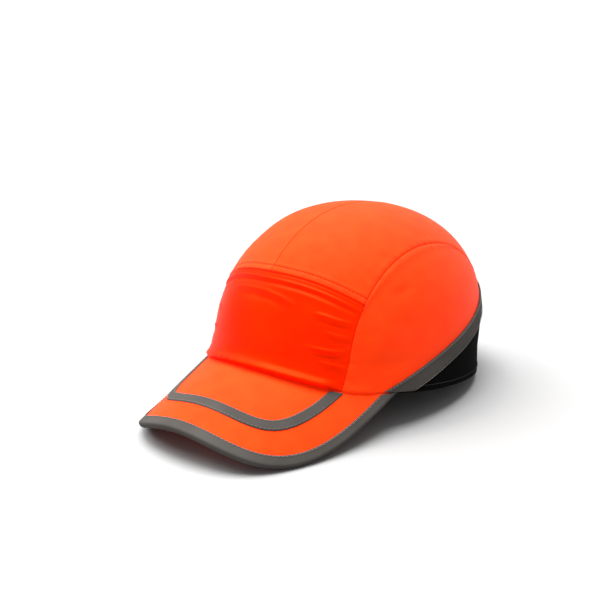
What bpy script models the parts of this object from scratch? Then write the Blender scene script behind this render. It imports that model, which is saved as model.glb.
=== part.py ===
"""High-visibility bump cap: a sewn fabric shell with a curved brim over a removable vented insert.

The cap is modelled upright, with its hem in the plane z = 0, its brim towards -Y and the wearer's
left at +X. An empty then tips it into the pose in which it lies on a table, on the two front
corners of the brim and the back of the hem, with the middle of its box over the origin.
"""
import math

import bmesh
import bpy
from mathutils import Matrix, Vector

mm = 0.001

# Crown: the outer face of the fabric. A dome leans back over a short flared skirt.
CROWN_HALF_WIDTH = 89.25 * mm
CROWN_FRONT = 104.5 * mm
CROWN_BACK = 108.9 * mm
SKIRT_HEIGHT = 19.3 * mm
SKIRT_FLARE = 0.022
DOME_HEIGHT = 97.5 * mm
DOME_POWER = 0.89
LEAN = 0.111

# Panels and their seams.
FABRIC = 1.1 * mm
SEAM = 0.4 * mm
SIDE_SEAM_X = 62.0 * mm
FRONT_SEAM_TOP = 71.0 * mm
FRONT_SEAM_DROP = 15.0 * mm

# Reflective tape: a strip that climbs from the hem and arches over the back.
TAPE_START_UPPER = 58.0
TAPE_START_LOWER = 70.0
TAPE_TOP_UPPER = 74.0 * mm
TAPE_TOP_LOWER = 61.0 * mm
TAPE_GAP = 0.5 * mm
TAPE_THICK = 0.4 * mm
TAPE_END_INSET = 1.0
REAR_PANEL_START = 67.0
SIDE_CORNER_SWEEP = 28.0

# Brim: a sheet bent round an axis that slopes down to the front.
BRIM_SLOPE = math.radians(27.8)
BRIM_BEND = 105.0 * mm
BRIM_CONE = -0.18
BRIM_CONE_LENGTH = 70.0 * mm
BRIM_ROOT_Y = -105.8 * mm
BRIM_ROOT_Z = 6.7 * mm
BRIM_LENGTH = 66.9 * mm
BRIM_HALF_WIDTH = 91.2 * mm
BRIM_END_Q = -50.3 * mm
BRIM_ROUNDNESS = 3.19
BRIM_HEM_ANGLE = 64.0
BRIM_HEM_BLEND = 8.0
BRIM_ROOT_TURN = 61.0
BRIM_EDGE_TURN = 87.0
BRIM_STATIONS = 39
BRIM_COVER = 0.5 * mm
BRIM_BOARD = 1.6 * mm
BRIM_FOLD_INSET = 1.2 * mm
BRIM_TUCK = 3.0 * mm
BRIM_ROWS = 5
LAYER_GAP = 0.3 * mm
HEM_GAP = 0.4 * mm
BINDING_FRONT = 8.7 * mm
BINDING_SIDE = 6.6 * mm
BINDING_THICK = 0.5 * mm
BINDING_CLEAR = 0.4 * mm
BINDING_CHAMFER = 0.6 * mm
STRIPE_OUTER = (24.3 * mm, 25.4 * mm)
STRIPE_INNER = (30.2 * mm, 32.0 * mm)

# Layers inside the crown, as depths below its outer face.
LINING_DEPTH = 1.7 * mm
SEAM_TAPE = 0.5 * mm
SEAM_TAPE_WIDTH = 12.0 * mm
BAND_THICK = 1.5 * mm
BAND_HEIGHT = 30.0 * mm
BAND_END = 142.0
BACKING_HALF_WIDTH = 53.0 * mm
BACKING_MARGIN = 5.0 * mm
BAND_MARGIN = 2.0 * mm
LABEL_DEPTH = 3.8 * mm
LABEL_THICK = 0.3 * mm
LABEL_FROM = (116.0, 2.0 * mm)
LABEL_TO = (134.0, 21.0 * mm)

# Insert: rim heights, then the ribs and slots as rows at x with their extents along the slice.
INSERT_DEPTH = 5.0 * mm
INSERT_WALL = 2.0 * mm
INSERT_BEAD = 0.6 * mm
INSERT_TURNS = 40
INSERT_CLIMBS = (0.0, 0.022, 0.03, 0.12)
INSERT_RINGS_ABOVE = 7
INSERT_RIM_FRONT = 23.0 * mm
INSERT_RIM_SIDE = 27.0 * mm
INSERT_RIM_REAR = 54.0 * mm
RIB_ROWS = (-47.0 * mm, -26.0 * mm, 26.0 * mm, 47.0 * mm)
RIB_HALF_WIDTH = 3.2 * mm
RIB_DRAFT = 0.7
RIB_TOP = 3.1 * mm
RIB_BASE = 6.2 * mm
RIB_START_HEIGHT = 56.0 * mm
RIB_END_HEIGHT = 62.0 * mm
SLOT_ROWS = (-57.0 * mm, -36.5 * mm, -13.0 * mm, 13.0 * mm, 36.5 * mm, 57.0 * mm)
SLOT_ARCS = ((52, 66), (72, 87), (93, 108), (114, 128))
SLOT_HALF_WIDTH = 3.4 * mm
SLOT_TOP = 1.0 * mm
SLOT_BASE = 9.0 * mm
ROUND_END = (0.5, 0.87, 1.0)
PAD_DEPTH = 7.9 * mm
PAD_THICK = 5.3 * mm
PAD_CORNER = 0.92
CROWN_PAD_HALF_WIDTH = 32.0 * mm
CROWN_PAD_CURVE = 40.0 * mm
CROWN_PAD_SWEEP = 26.0

# Rear opening and its hook-and-loop strap.
OPENING_HALF_WIDTH = 42.0 * mm
OPENING_HEIGHT = 46.0 * mm
OPENING_BINDING_WIDTH = 6.0 * mm
OPENING_BINDING_FOLD = 1.1 * mm
STRAP_LOW = 3.0 * mm
STRAP_HIGH = 22.0 * mm
STRAP_DEPTH = 2.6 * mm
STRAP_THICK = 1.0 * mm
PATCH_THICK = 0.5 * mm
HINGE_ANGLE = 201.5
HINGE_GAP = 0.6
STRAP_LEFT_DIP = 3.0 * mm

# Resting pose.
REST_PITCH = math.radians(10.07)
REST_SHIFT = Vector((0.0, 24.1 * mm, 17.3 * mm))


def solve(test, low, high):
    """Value between low and high at which test turns from false to true."""
    for _ in range(40):
        middle = (low + high) / 2
        if test(middle):
            high = middle
        else:
            low = middle
    return (low + high) / 2


def mix(a, b, t):
    return a + (b - a) * t


def ease(t):
    t = min(max(t, 0.0), 1.0)
    return t * t * (3 - 2 * t)


def spread(low, high, count):
    """Evenly spaced values, ends included."""
    return [mix(low, high, i / (count - 1)) for i in range(count)]


# ---------------------------------------------------------------- crown surface

def girth(z):
    """Scale of the crown's plan at height z: 1 at the foot of the dome, 0 at its top."""
    if z < SKIRT_HEIGHT:
        return 1 + SKIRT_FLARE * (1 - z / SKIRT_HEIGHT)
    rise = min((z - SKIRT_HEIGHT) / DOME_HEIGHT, 1.0) ** (1 / DOME_POWER)
    return (1 - rise * rise) ** (DOME_POWER / 2)


def height(k):
    """Height at which the plan has the scale k."""
    if k > 1:
        return SKIRT_HEIGHT * (1 - (k - 1) / SKIRT_FLARE)
    return SKIRT_HEIGHT + DOME_HEIGHT * (1 - k ** (2 / DOME_POWER)) ** (DOME_POWER / 2)


def reach(toward_back):
    return CROWN_BACK if toward_back else CROWN_FRONT


def crown_normal(p):
    """Outward direction of the crown's face at the point p."""
    along = p.y - LEAN * p.z
    nx = 2 * p.x / CROWN_HALF_WIDTH ** 2
    ny = 2 * along / reach(along > 0) ** 2
    if p.z < SKIRT_HEIGHT:
        slope = -2 * girth(p.z) * SKIRT_FLARE / SKIRT_HEIGHT
    else:
        part = min(max((p.z - SKIRT_HEIGHT) / DOME_HEIGHT, 1e-6), 1.0)
        rise = part ** (1 / DOME_POWER)
        left = max(1 - rise * rise, 1e-6)
        slope = -2 * rise * left ** (DOME_POWER - 1) * part ** (1 / DOME_POWER - 1) / DOME_HEIGHT
    return Vector((nx, ny, -slope - LEAN * ny)).normalized()


def raised(p, out):
    return p + crown_normal(p) * out


def crown_point(angle, z, out=0.0):
    """Point at a compass angle in degrees, 0 at the front and 90 at the wearer's left."""
    turn = math.radians(angle)
    k = girth(z)
    x = CROWN_HALF_WIDTH * k * math.sin(turn)
    y = -reach(math.cos(turn) < 0) * k * math.cos(turn) + LEAN * z
    return raised(Vector((x, y, z)), out)


def slice_point(x, sweep, out=0.0):
    """Point on the lengthwise slice at x, where sweep runs from 0 at the front to 180 at the back."""
    side = x / CROWN_HALF_WIDTH
    half = reach(sweep > 90) * math.sqrt(1 - side * side)
    along = -half * math.cos(math.radians(sweep))
    k = math.sqrt(side * side + (along / reach(sweep > 90)) ** 2)
    z = height(k)
    return raised(Vector((x, along + LEAN * z, z)), out)


def angle_at(x, z):
    """Compass angle in front of the side seams at which the crown is x wide at height z."""
    return math.degrees(math.asin(x / CROWN_HALF_WIDTH / girth(z)))


def compass(p):
    along = p.y - LEAN * p.z
    return math.degrees(math.atan2(abs(p.x) / CROWN_HALF_WIDTH, -along / reach(along > 0)))


def outside_crown(p, gap):
    """True where p is further out than the crown's face by more than gap."""
    along = p.y - LEAN * p.z
    grow = (CROWN_HALF_WIDTH + gap) / CROWN_HALF_WIDTH
    k = math.hypot(p.x / CROWN_HALF_WIDTH, along / reach(along > 0))
    return k > girth(p.z) * grow


# ---------------------------------------------------------------- brim surface

def brim_point(p, q, out=0.0):
    """Point on the brim's top face: p is the way round the bend, q the way to the front."""
    radius = BRIM_BEND * (1 + BRIM_CONE * q / BRIM_CONE_LENGTH)
    turn = p / radius
    forward = Vector((0, -math.cos(BRIM_SLOPE), -math.sin(BRIM_SLOPE)))
    upward = Vector((0, -math.sin(BRIM_SLOPE), math.cos(BRIM_SLOPE)))
    sideways = Vector((1, 0, 0))
    root = Vector((0, BRIM_ROOT_Y, BRIM_ROOT_Z))
    radial = sideways * math.sin(turn) + upward * math.cos(turn)
    return root + forward * q - upward * radius + radial * (radius + out)


def brim_flat(x, y):
    """The sheet coordinates p, q of the point above x, y."""
    q = 0.0
    for _ in range(30):
        radius = BRIM_BEND * (1 + BRIM_CONE * q / BRIM_CONE_LENGTH)
        drop = radius - math.sqrt(radius * radius - x * x)
        q = (BRIM_ROOT_Y + drop * math.sin(BRIM_SLOPE) - y) / math.cos(BRIM_SLOPE)
    return radius * math.asin(x / radius), q


def brim_edge(t, inset=0.0):
    """Outline of the brim in sheet coordinates: t is -90 and 90 at its ends and 0 at the front."""
    def outline(turn):
        s = math.sin(math.radians(turn))
        c = max(math.cos(math.radians(turn)), 0.0)
        reach_out = (abs(s) ** BRIM_ROUNDNESS + c ** BRIM_ROUNDNESS) ** (-1 / BRIM_ROUNDNESS)
        ahead = (BRIM_LENGTH - BRIM_END_Q) * reach_out * c
        return Vector((BRIM_HALF_WIDTH * reach_out * s, BRIM_END_Q + ahead))
    ahead = outline(min(t + 0.5, 90.0))
    behind = outline(max(t - 0.5, -90.0))
    along = (ahead - behind).normalized()
    inward = Vector((along.y, -along.x))
    return outline(t) + inward * inset


def hem_height(angle, out=0.0):
    """The hem rests on the brim at the front and lies in the plane z = 0 behind it."""
    turn = abs(angle if angle < 180 else 360 - angle)
    z = 0.0
    if turn > BRIM_HEM_ANGLE + BRIM_HEM_BLEND:
        return z
    for _ in range(30):
        p = crown_point(angle, z, out)
        z += brim_point(*brim_flat(p.x, p.y)).z + HEM_GAP - p.z
    return mix(z, 0.0, ease((turn - BRIM_HEM_ANGLE) / BRIM_HEM_BLEND))


def tape_height(angle, across):
    """Height of the reflective tape: across runs from 0 at its lower edge to 1 at its upper edge."""
    turn = min(angle, 360 - angle)
    start = mix(TAPE_START_LOWER, TAPE_START_UPPER, across)
    top = mix(TAPE_TOP_LOWER, TAPE_TOP_UPPER, across)
    return top * math.sin(math.radians(90 * (turn - start) / (180 - start)))


def front_seam(x):
    return FRONT_SEAM_TOP - FRONT_SEAM_DROP * (x / (SIDE_SEAM_X - SEAM)) ** 2


# ---------------------------------------------------------------- making solids

def material(name, colour, roughness, metallic=0.0):
    made = bpy.data.materials.new(name)
    made.use_nodes = True
    shader = made.node_tree.nodes["Principled BSDF"]
    shader.inputs["Base Color"].default_value = (*colour, 1.0)
    shader.inputs["Roughness"].default_value = roughness
    shader.inputs["Metallic"].default_value = metallic
    return made


def new_object(name, bm, finish):
    bmesh.ops.recalc_face_normals(bm, faces=bm.faces)
    mesh = bpy.data.meshes.new(name)
    bm.to_mesh(mesh)
    bm.free()
    mesh.shade_smooth()
    mesh.set_sharp_from_angle(angle=math.radians(35))
    mesh.materials.append(finish)
    made = bpy.data.objects.new(name, mesh)
    bpy.context.scene.collection.objects.link(made)
    made.parent = REST
    return made


def border(rows, columns):
    """Row and column numbers once round the edge of a grid."""
    ring = [(0, j) for j in range(columns)]
    ring += [(i, columns - 1) for i in range(1, rows)]
    ring += [(rows - 1, j) for j in range(columns - 2, -1, -1)]
    ring += [(i, 0) for i in range(rows - 2, 0, -1)]
    return ring


def sheet_solid(name, skin, depth, thick, finish):
    """Closed solid between skin(-depth) and skin(-depth - thick), each a grid of points."""
    bm = bmesh.new()
    top = [[bm.verts.new(p) for p in row] for row in skin(-depth)]
    low = [[bm.verts.new(p) for p in row] for row in skin(-depth - thick)]
    rows = len(top)
    columns = len(top[0])
    for i in range(rows - 1):
        for j in range(columns - 1):
            bm.faces.new((top[i][j], top[i][j + 1], top[i + 1][j + 1], top[i + 1][j]))
            bm.faces.new((low[i][j], low[i + 1][j], low[i + 1][j + 1], low[i][j + 1]))
    ring = border(rows, columns)
    for (i, j), (k, m) in zip(ring, ring[1:] + ring[:1]):
        bm.faces.new((top[i][j], low[i][j], low[k][m], top[k][m]))
    return new_object(name, bm, finish)


def add_sweep(bm, sections):
    """Adds a closed bar through the sections, each a loop of points, with a face on both ends."""
    loops = [[bm.verts.new(p) for p in section] for section in sections]
    count = len(loops[0])
    for a, b in zip(loops, loops[1:]):
        for i in range(count):
            j = (i + 1) % count
            bm.faces.new((a[i], a[j], b[j], b[i]))
    bm.faces.new(loops[0])
    bm.faces.new(list(reversed(loops[-1])))


def sweep_solid(name, sections, finish):
    bm = bmesh.new()
    add_sweep(bm, sections)
    return new_object(name, bm, finish)


def cut(target, tool, operation):
    """Cuts or joins with a guide object that is left out of the model."""
    tool.hide_render = True
    tool.display_type = "WIRE"
    change = target.modifiers.new(tool.name, "BOOLEAN")
    change.operation = operation
    change.solver = "EXACT"
    change.object = tool


def mirrored(skin):
    """The same grid of points on the wearer's right."""
    def flipped(out):
        return [[Vector((-p.x, p.y, p.z)) for p in row] for row in skin(out)]
    return flipped


def coons(bottom, top, left, right, columns, rows):
    """Grid of (angle, z) pairs filled in between four edges, each a function of 0 to 1."""
    grid = []
    for t in spread(0, 1, rows):
        row = []
        for s in spread(0, 1, columns):
            across = [mix(a, b, t) for a, b in zip(bottom(s), top(s))]
            along = [mix(a, b, s) for a, b in zip(left(t), right(t))]
            low = [mix(a, b, s) for a, b in zip(bottom(0), bottom(1))]
            high = [mix(a, b, s) for a, b in zip(top(0), top(1))]
            corners = [mix(a, b, t) for a, b in zip(low, high)]
            row.append([a + b - c for a, b, c in zip(across, along, corners)])
        grid.append(row)
    return grid


# ---------------------------------------------------------------- fabric shell

def front_panel_skin(out):
    """Front panel between its two straight side seams, from the brim up to the curved top seam."""
    rows = []
    edge = SIDE_SEAM_X - SEAM / 2
    for t in spread(0, 1, 8):
        row = []
        for x in spread(-edge, edge, 15):
            z = mix(hem_height(angle_at(x, 0.0), out), front_seam(x), t)
            row.append(crown_point(angle_at(x, z), z, out))
        rows.append(row)
    return rows


def sweep_at(x, test):
    return solve(lambda sweep: test(slice_point(x, sweep)), 0.0, 180.0)


def front_sweep(x):
    """Where the slice at x meets the front panel's top seam."""
    return solve(lambda s: slice_point(x, s).z > front_seam(x) + SEAM, 0.0, 90.0)


def rear_sweep(x, across, below=0.0):
    """Where the slice at x meets the line of the tape at the back."""
    def past(s):
        p = slice_point(x, s)
        return p.z < tape_height(compass(p), across) - below
    return solve(past, 90.0, 180.0)


def crown_panel_skin(out):
    """Half of the crown: from the centre seam to the side seam, front seam to reflective tape."""
    columns = []
    for x in spread(SEAM / 2, SIDE_SEAM_X - SEAM / 2, 8):
        sweeps = spread(front_sweep(x), rear_sweep(x, 0.5, -SEAM), 17)
        columns.append([slice_point(x, s, out) for s in sweeps])
    return columns


def side_edge_angle(z, behind):
    """Compass angle at which the side seam's plane meets height z."""
    k = girth(z) * CROWN_HALF_WIDTH
    turn = math.degrees(math.asin(min((SIDE_SEAM_X + SEAM / 2) / k, 1.0)))
    return 180 - turn if behind else turn


def side_panel_skin(out):
    """Side panel: all that lies outside the side seam's plane and above the hem and the tape."""
    seam_x = SIDE_SEAM_X + SEAM / 2
    front = side_edge_angle(2 * mm, False)
    back_z = solve(lambda z: z > tape_height(side_edge_angle(z, True), 0.5) + SEAM, 30 * mm, 85 * mm)
    back = side_edge_angle(back_z, True)
    front_z = hem_height(front, out)
    low_corner = front_sweep(seam_x)
    high_corner = sweep_at(seam_x, lambda p: p.y > 0) + SIDE_CORNER_SWEEP

    def bottom(s):
        angle = mix(front, back, s)
        return angle, max(hem_height(angle, out), tape_height(angle, 0.5) + SEAM)

    def top(s):
        p = slice_point(seam_x, mix(low_corner, high_corner, s))
        return compass(p), p.z

    def left(t):
        z = mix(front_z, slice_point(seam_x, low_corner).z, t)
        return side_edge_angle(z, False), z

    def right(t):
        z = mix(back_z, slice_point(seam_x, high_corner).z, t)
        return side_edge_angle(z, True), z

    grid = coons(bottom, top, left, right, 15, 9)
    return [[crown_point(angle, z, out) for angle, z in row] for row in grid]


def rear_panel_skin(out):
    """Black lower back panel, from the hem up to the middle of the reflective tape."""
    rows = []
    for t in spread(0, 1, 6):
        row = []
        for angle in spread(REAR_PANEL_START, 360 - REAR_PANEL_START, 39):
            row.append(crown_point(angle, mix(0.0, tape_height(angle, 0.5) - SEAM, t), out))
        rows.append(row)
    return rows


def tape_skin(out):
    """Reflective tape: each line along it starts at the hem."""
    rows = []
    for t in spread(0, 1, 4):
        start = mix(TAPE_START_LOWER, TAPE_START_UPPER, t) + TAPE_END_INSET
        row = []
        for angle in spread(start, 360 - start, 45):
            row.append(crown_point(angle, max(tape_height(angle, t), 0.2 * mm), out))
        rows.append(row)
    return rows


def opening_point(turn, grow, out):
    """Point on the rim of the rear opening: turn runs from 0 at the wearer's left foot to 180."""
    x = (OPENING_HALF_WIDTH + grow) * math.cos(math.radians(turn))
    z = max((OPENING_HEIGHT + grow) * math.sin(math.radians(turn)), 0.4 * mm)
    angle = 180 - math.degrees(math.asin(x / CROWN_HALF_WIDTH / girth(z)))
    return crown_point(angle, z, out)


def rear_opening_cutter():
    """Arched bar that cuts the opening out of the lower back panel."""
    def ring(y):
        points = [Vector((OPENING_HALF_WIDTH * math.cos(math.radians(a)), y,
                          OPENING_HEIGHT * math.sin(math.radians(a)))) for a in spread(0, 180, 25)]
        points.append(Vector((-OPENING_HALF_WIDTH, y, -10 * mm)))
        points.append(Vector((OPENING_HALF_WIDTH, y, -10 * mm)))
        return points
    bm = bmesh.new()
    add_sweep(bm, [ring(70 * mm), ring(140 * mm)])
    return new_object("rear_opening_cutter", bm, BLACK_MESH)


def rear_opening_binding():
    """Bias binding folded over the rim of the rear opening."""
    face = TAPE_GAP
    back = -FABRIC - TAPE_GAP
    rim = -OPENING_BINDING_FOLD
    fold = BINDING_THICK + 0.1 * mm
    wide = OPENING_BINDING_WIDTH
    sections = []
    for turn in spread(0, 180, 25):
        profile = [(rim, face + BINDING_THICK), (wide, face + BINDING_THICK), (wide, face),
                   (rim + fold, face), (rim + fold, back), (wide, back),
                   (wide, back - BINDING_THICK), (rim, back - BINDING_THICK)]
        sections.append([opening_point(turn, grow, out) for grow, out in profile])
    return sweep_solid("rear_opening_binding", sections, BLACK_FABRIC)


# ---------------------------------------------------------------- brim

def brim_root(turn, depth):
    """Back edge of the brim, tucked in under the front panel's hem, in sheet coordinates."""
    p = crown_point(turn, hem_height(turn, -depth), -depth)
    return Vector(brim_flat(p.x, p.y))


def brim_skin(out):
    """Grid between the back edge and the outline, which is inset by the binding's fold."""
    grid = []
    for s in spread(0, 1, BRIM_ROWS):
        row = []
        for u in spread(-1, 1, BRIM_STATIONS):
            edge = brim_edge(BRIM_EDGE_TURN * u, BRIM_FOLD_INSET)
            flat = brim_root(BRIM_ROOT_TURN * u, BRIM_TUCK).lerp(edge, s)
            row.append(brim_point(flat.x, flat.y, out))
        grid.append(row)
    return grid


def clear_inset(t, wanted, out):
    """The widest inset up to the wanted one at which the brim is still clear of the crown."""
    def blocked(inset):
        flat = brim_edge(t, inset)
        return not outside_crown(brim_point(flat.x, flat.y, out), 0.5 * mm)
    return solve(blocked, 0.0, wanted)


def brim_edge_binding():
    """Reflective binding folded over the outer edge of the brim."""
    fold = BINDING_CLEAR + BINDING_THICK
    stack = 2 * BRIM_COVER + BRIM_BOARD + 2 * LAYER_GAP
    top = LAYER_GAP + BINDING_THICK
    low = -stack - LAYER_GAP - BINDING_THICK
    sections = []
    for t in spread(-BRIM_EDGE_TURN, BRIM_EDGE_TURN, BRIM_STATIONS):
        wide = mix(BINDING_FRONT, BINDING_SIDE, math.sin(math.radians(t)) ** 2)
        wide = clear_inset(t, wide, top)
        profile = [(BINDING_CHAMFER, top), (wide, top), (wide, LAYER_GAP), (fold, LAYER_GAP),
                   (fold, -stack - LAYER_GAP), (wide, -stack - LAYER_GAP), (wide, low), (BINDING_CHAMFER, low),
                   (0.0, low + BINDING_THICK), (0.0, top - BINDING_THICK)]
        loop = []
        for inset, out in profile:
            flat = brim_edge(t, inset)
            loop.append(brim_point(flat.x, flat.y, out))
        sections.append(loop)
    return sweep_solid("brim_edge_binding", sections, REFLECTIVE)


def stripe_skin(out):
    """Reflective stripe across the brim, whose ends meet the crown's hem."""
    rows = []
    for s in spread(0, 1, 3):
        side = mix(STRIPE_OUTER[0], STRIPE_INNER[0], s)
        front = mix(STRIPE_OUTER[1], STRIPE_INNER[1], s)

        def place(t):
            flat = brim_edge(t, mix(front, side, math.sin(math.radians(t)) ** 2))
            return brim_point(flat.x, flat.y, out)
        end = solve(lambda t: not outside_crown(place(t), 0.4 * mm), 20.0, 85.0)
        rows.append([place(t) for t in spread(-end, end, 33)])
    return rows


# ---------------------------------------------------------------- inside the crown

def sweatband_skin(out):
    """Sweatband from one side of the rear opening round the front to the other side."""
    rows = []
    for t in spread(0, 1, 4):
        row = []
        for angle in spread(-BAND_END, BAND_END, 41):
            low = hem_height(abs(angle), out)
            row.append(crown_point(angle, mix(low, BAND_HEIGHT, t), out))
        rows.append(row)
    return rows


def backing_skin(out):
    """Stiff backing behind the front panel, above the sweatband."""
    rows = []
    for t in spread(0, 1, 5):
        row = []
        for x in spread(-BACKING_HALF_WIDTH, BACKING_HALF_WIDTH, 11):
            z = mix(BAND_HEIGHT + BAND_MARGIN, front_seam(x) - BACKING_MARGIN, t)
            row.append(crown_point(angle_at(x, z), z, out))
        rows.append(row)
    return rows


def seam_tape_skin(middle):
    """Cotton tape over the inside of a lengthwise seam."""
    def skin(out):
        columns = []
        for x in spread(middle - SEAM_TAPE_WIDTH / 2, middle + SEAM_TAPE_WIDTH / 2, 3):
            start = front_sweep(x)
            if middle:
                start = solve(lambda s: slice_point(x, s).z > BAND_HEIGHT + BAND_MARGIN, 0.0, 90.0)
            sweeps = spread(start, rear_sweep(x, 0.5), 21)
            columns.append([slice_point(x, s, out) for s in sweeps])
        return columns
    return skin


def care_label_skin(out):
    rows = []
    for z in spread(LABEL_FROM[1], LABEL_TO[1], 3):
        rows.append([crown_point(angle, z, out) for angle in spread(LABEL_FROM[0], LABEL_TO[0], 5)])
    return rows


# ---------------------------------------------------------------- insert

def insert_rim(angle):
    """Height of the insert's rim: low all round, with a notch over the rear opening."""
    turn = abs(angle if angle < 180 else 360 - angle)
    base = mix(INSERT_RIM_FRONT, INSERT_RIM_SIDE, ease(turn / 70))
    return mix(base, INSERT_RIM_REAR, ease((turn - 128) / 17))


def insert_ring(climb, turns, out):
    """Once round the insert: climb runs from 0 at the rim to 1 at the top of the dome."""
    ring = []
    for angle in turns:
        rise = ((insert_rim(angle) - SKIRT_HEIGHT) / DOME_HEIGHT) ** (1 / DOME_POWER)
        lift = math.sin(mix(math.asin(rise), math.pi / 2, climb)) ** DOME_POWER
        ring.append(crown_point(angle, SKIRT_HEIGHT + DOME_HEIGHT * lift, out))
    return ring


def insert_shell():
    """Moulded shell with a rim bead, raised ribs along its top and rows of slots between them."""
    turns = spread(0, 360 - 360 / INSERT_TURNS, INSERT_TURNS)
    above = spread(INSERT_CLIMBS[-1], 0.95, INSERT_RINGS_ABOVE + 1)[1:]
    top = SKIRT_HEIGHT + DOME_HEIGHT
    bm = bmesh.new()
    skins = []
    for depth, bead in ((INSERT_DEPTH, INSERT_BEAD), (INSERT_DEPTH + INSERT_WALL, 0.0)):
        rings = []
        for j, climb in enumerate([*INSERT_CLIMBS, *above]):
            out = bead - depth if j < 2 else -depth
            rings.append([bm.verts.new(p) for p in insert_ring(climb, turns, out)])
        tip = bm.verts.new(Vector((0, LEAN * top, top - depth)))
        skins.append((rings, tip))
    for rings, tip in skins:
        for a, b in zip(rings, rings[1:]):
            for i in range(INSERT_TURNS):
                bm.faces.new((a[i], a[i - 1], b[i - 1], b[i]))
        for i in range(INSERT_TURNS):
            bm.faces.new((rings[-1][i], rings[-1][i - 1], tip))
    outer = skins[0][0][0]
    inner = skins[1][0][0]
    for i in range(INSERT_TURNS):
        bm.faces.new((outer[i], outer[i - 1], inner[i - 1], inner[i]))
    shell = new_object("insert_shell", bm, INSERT_PLASTIC)
    cut(shell, insert_ribs(), "UNION")
    cut(shell, insert_slots(), "DIFFERENCE")
    return shell


def rail(x, start, end, half, base, top, steps, draft=1.0):
    """Sections of a bar with rounded ends that follows the crown lengthwise at x between two depths."""
    sections = []
    for i, sweep in enumerate(spread(start, end, steps)):
        share = ROUND_END[min(i, steps - 1 - i, len(ROUND_END) - 1)]
        wide = half * share
        narrow = wide * draft
        crest = top if draft == 1.0 else mix(base, top, share)
        sections.append([slice_point(x - wide, sweep, -base), slice_point(x + wide, sweep, -base),
                         slice_point(x + narrow, sweep, -crest), slice_point(x - narrow, sweep, -crest)])
    return sections


def insert_ribs():
    """Four ribs that run from front to back between the rows of slots."""
    bm = bmesh.new()
    for x in RIB_ROWS:
        start = solve(lambda s: slice_point(x, s).z > RIB_START_HEIGHT, 0.0, 90.0)
        end = solve(lambda s: slice_point(x, s).z < RIB_END_HEIGHT, 90.0, 180.0)
        add_sweep(bm, rail(x, start, end, RIB_HALF_WIDTH, RIB_BASE, RIB_TOP, 12, RIB_DRAFT))
    return new_object("insert_rib_guide", bm, INSERT_PLASTIC)


def insert_slots():
    """Ventilation slots that follow the curve of the shell, fewer in the outermost rows."""
    bm = bmesh.new()
    for x in SLOT_ROWS:
        for start, end in SLOT_ARCS[1:3] if abs(x) == max(SLOT_ROWS) else SLOT_ARCS:
            add_sweep(bm, rail(x, start, end, SLOT_HALF_WIDTH, SLOT_BASE, SLOT_TOP, 6))
    return new_object("insert_slot_guide", bm, INSERT_PLASTIC)


def pad_skin(low, high, half_angle, middle):
    """Foam pad on the wall of the insert, round the compass angle middle."""
    def skin(out):
        rows = []
        for z in spread(low, high, 4):
            half = half_angle * (PAD_CORNER if z in (low, high) else 1.0)
            rows.append([crown_point(a, z, out) for a in spread(middle - half, middle + half, 9)])
        return rows
    return skin


def crown_pad_skin(out):
    """Rounded foam pad under the top of the insert."""
    columns = []
    for x in spread(-CROWN_PAD_HALF_WIDTH, CROWN_PAD_HALF_WIDTH, 8):
        half = CROWN_PAD_SWEEP * math.sqrt(1 - (x / CROWN_PAD_CURVE) ** 2)
        columns.append([slice_point(x, s, out) for s in spread(90 - half, 90 + half, 9)])
    return columns


# ---------------------------------------------------------------- rear strap

def strap_skin(start, end, margin, steps):
    """Strap or patch along the hem between two compass angles."""
    def skin(out):
        rows = []
        for z in spread(STRAP_LOW + margin, STRAP_HIGH - margin, 3):
            rows.append([crown_point(angle, z, out) for angle in spread(start, end, steps)])
        return rows
    return skin


def strap_left_skin(out):
    """Left strap: sewn at the sweatband's end, it dips inwards to pass under the right strap."""
    rows = []
    for z in spread(STRAP_LOW, STRAP_HIGH, 3):
        row = []
        for angle in spread(144, 197, 15):
            dip = mix(STRAP_LEFT_DIP, 0.0, ease((angle - 150) / 14))
            row.append(crown_point(angle, z, out + dip))
        rows.append(row)
    return rows


# ---------------------------------------------------------------- build

for old in list(bpy.data.objects):
    bpy.data.objects.remove(old, do_unlink=True)

REST = bpy.data.objects.new("resting_pose", None)
bpy.context.scene.collection.objects.link(REST)
REST.matrix_world = Matrix.Translation(REST_SHIFT) @ Matrix.Rotation(-REST_PITCH, 4, "X")

ORANGE = material("orange_polyester", (0.95, 0.09, 0.01), 0.75)
ORANGE_SATIN = material("orange_satin", (0.96, 0.05, 0.005), 0.45)
REFLECTIVE = material("reflective_tape", (0.13, 0.12, 0.11), 0.55)
BLACK_MESH = material("black_mesh", (0.012, 0.012, 0.013), 0.9)
BLACK_FABRIC = material("black_webbing", (0.015, 0.015, 0.016), 0.85)
COTTON = material("cotton_tape", (0.02, 0.02, 0.022), 0.95)
TERRY = material("sweatband_terry", (0.03, 0.03, 0.033), 1.0)
BOARD = material("brim_board", (0.8, 0.8, 0.78), 0.5)
INSERT_PLASTIC = material("insert_plastic", (0.025, 0.025, 0.028), 0.4)
FOAM = material("foam", (0.06, 0.06, 0.065), 0.95)
LABEL = material("label", (0.8, 0.8, 0.78), 0.7)

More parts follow.
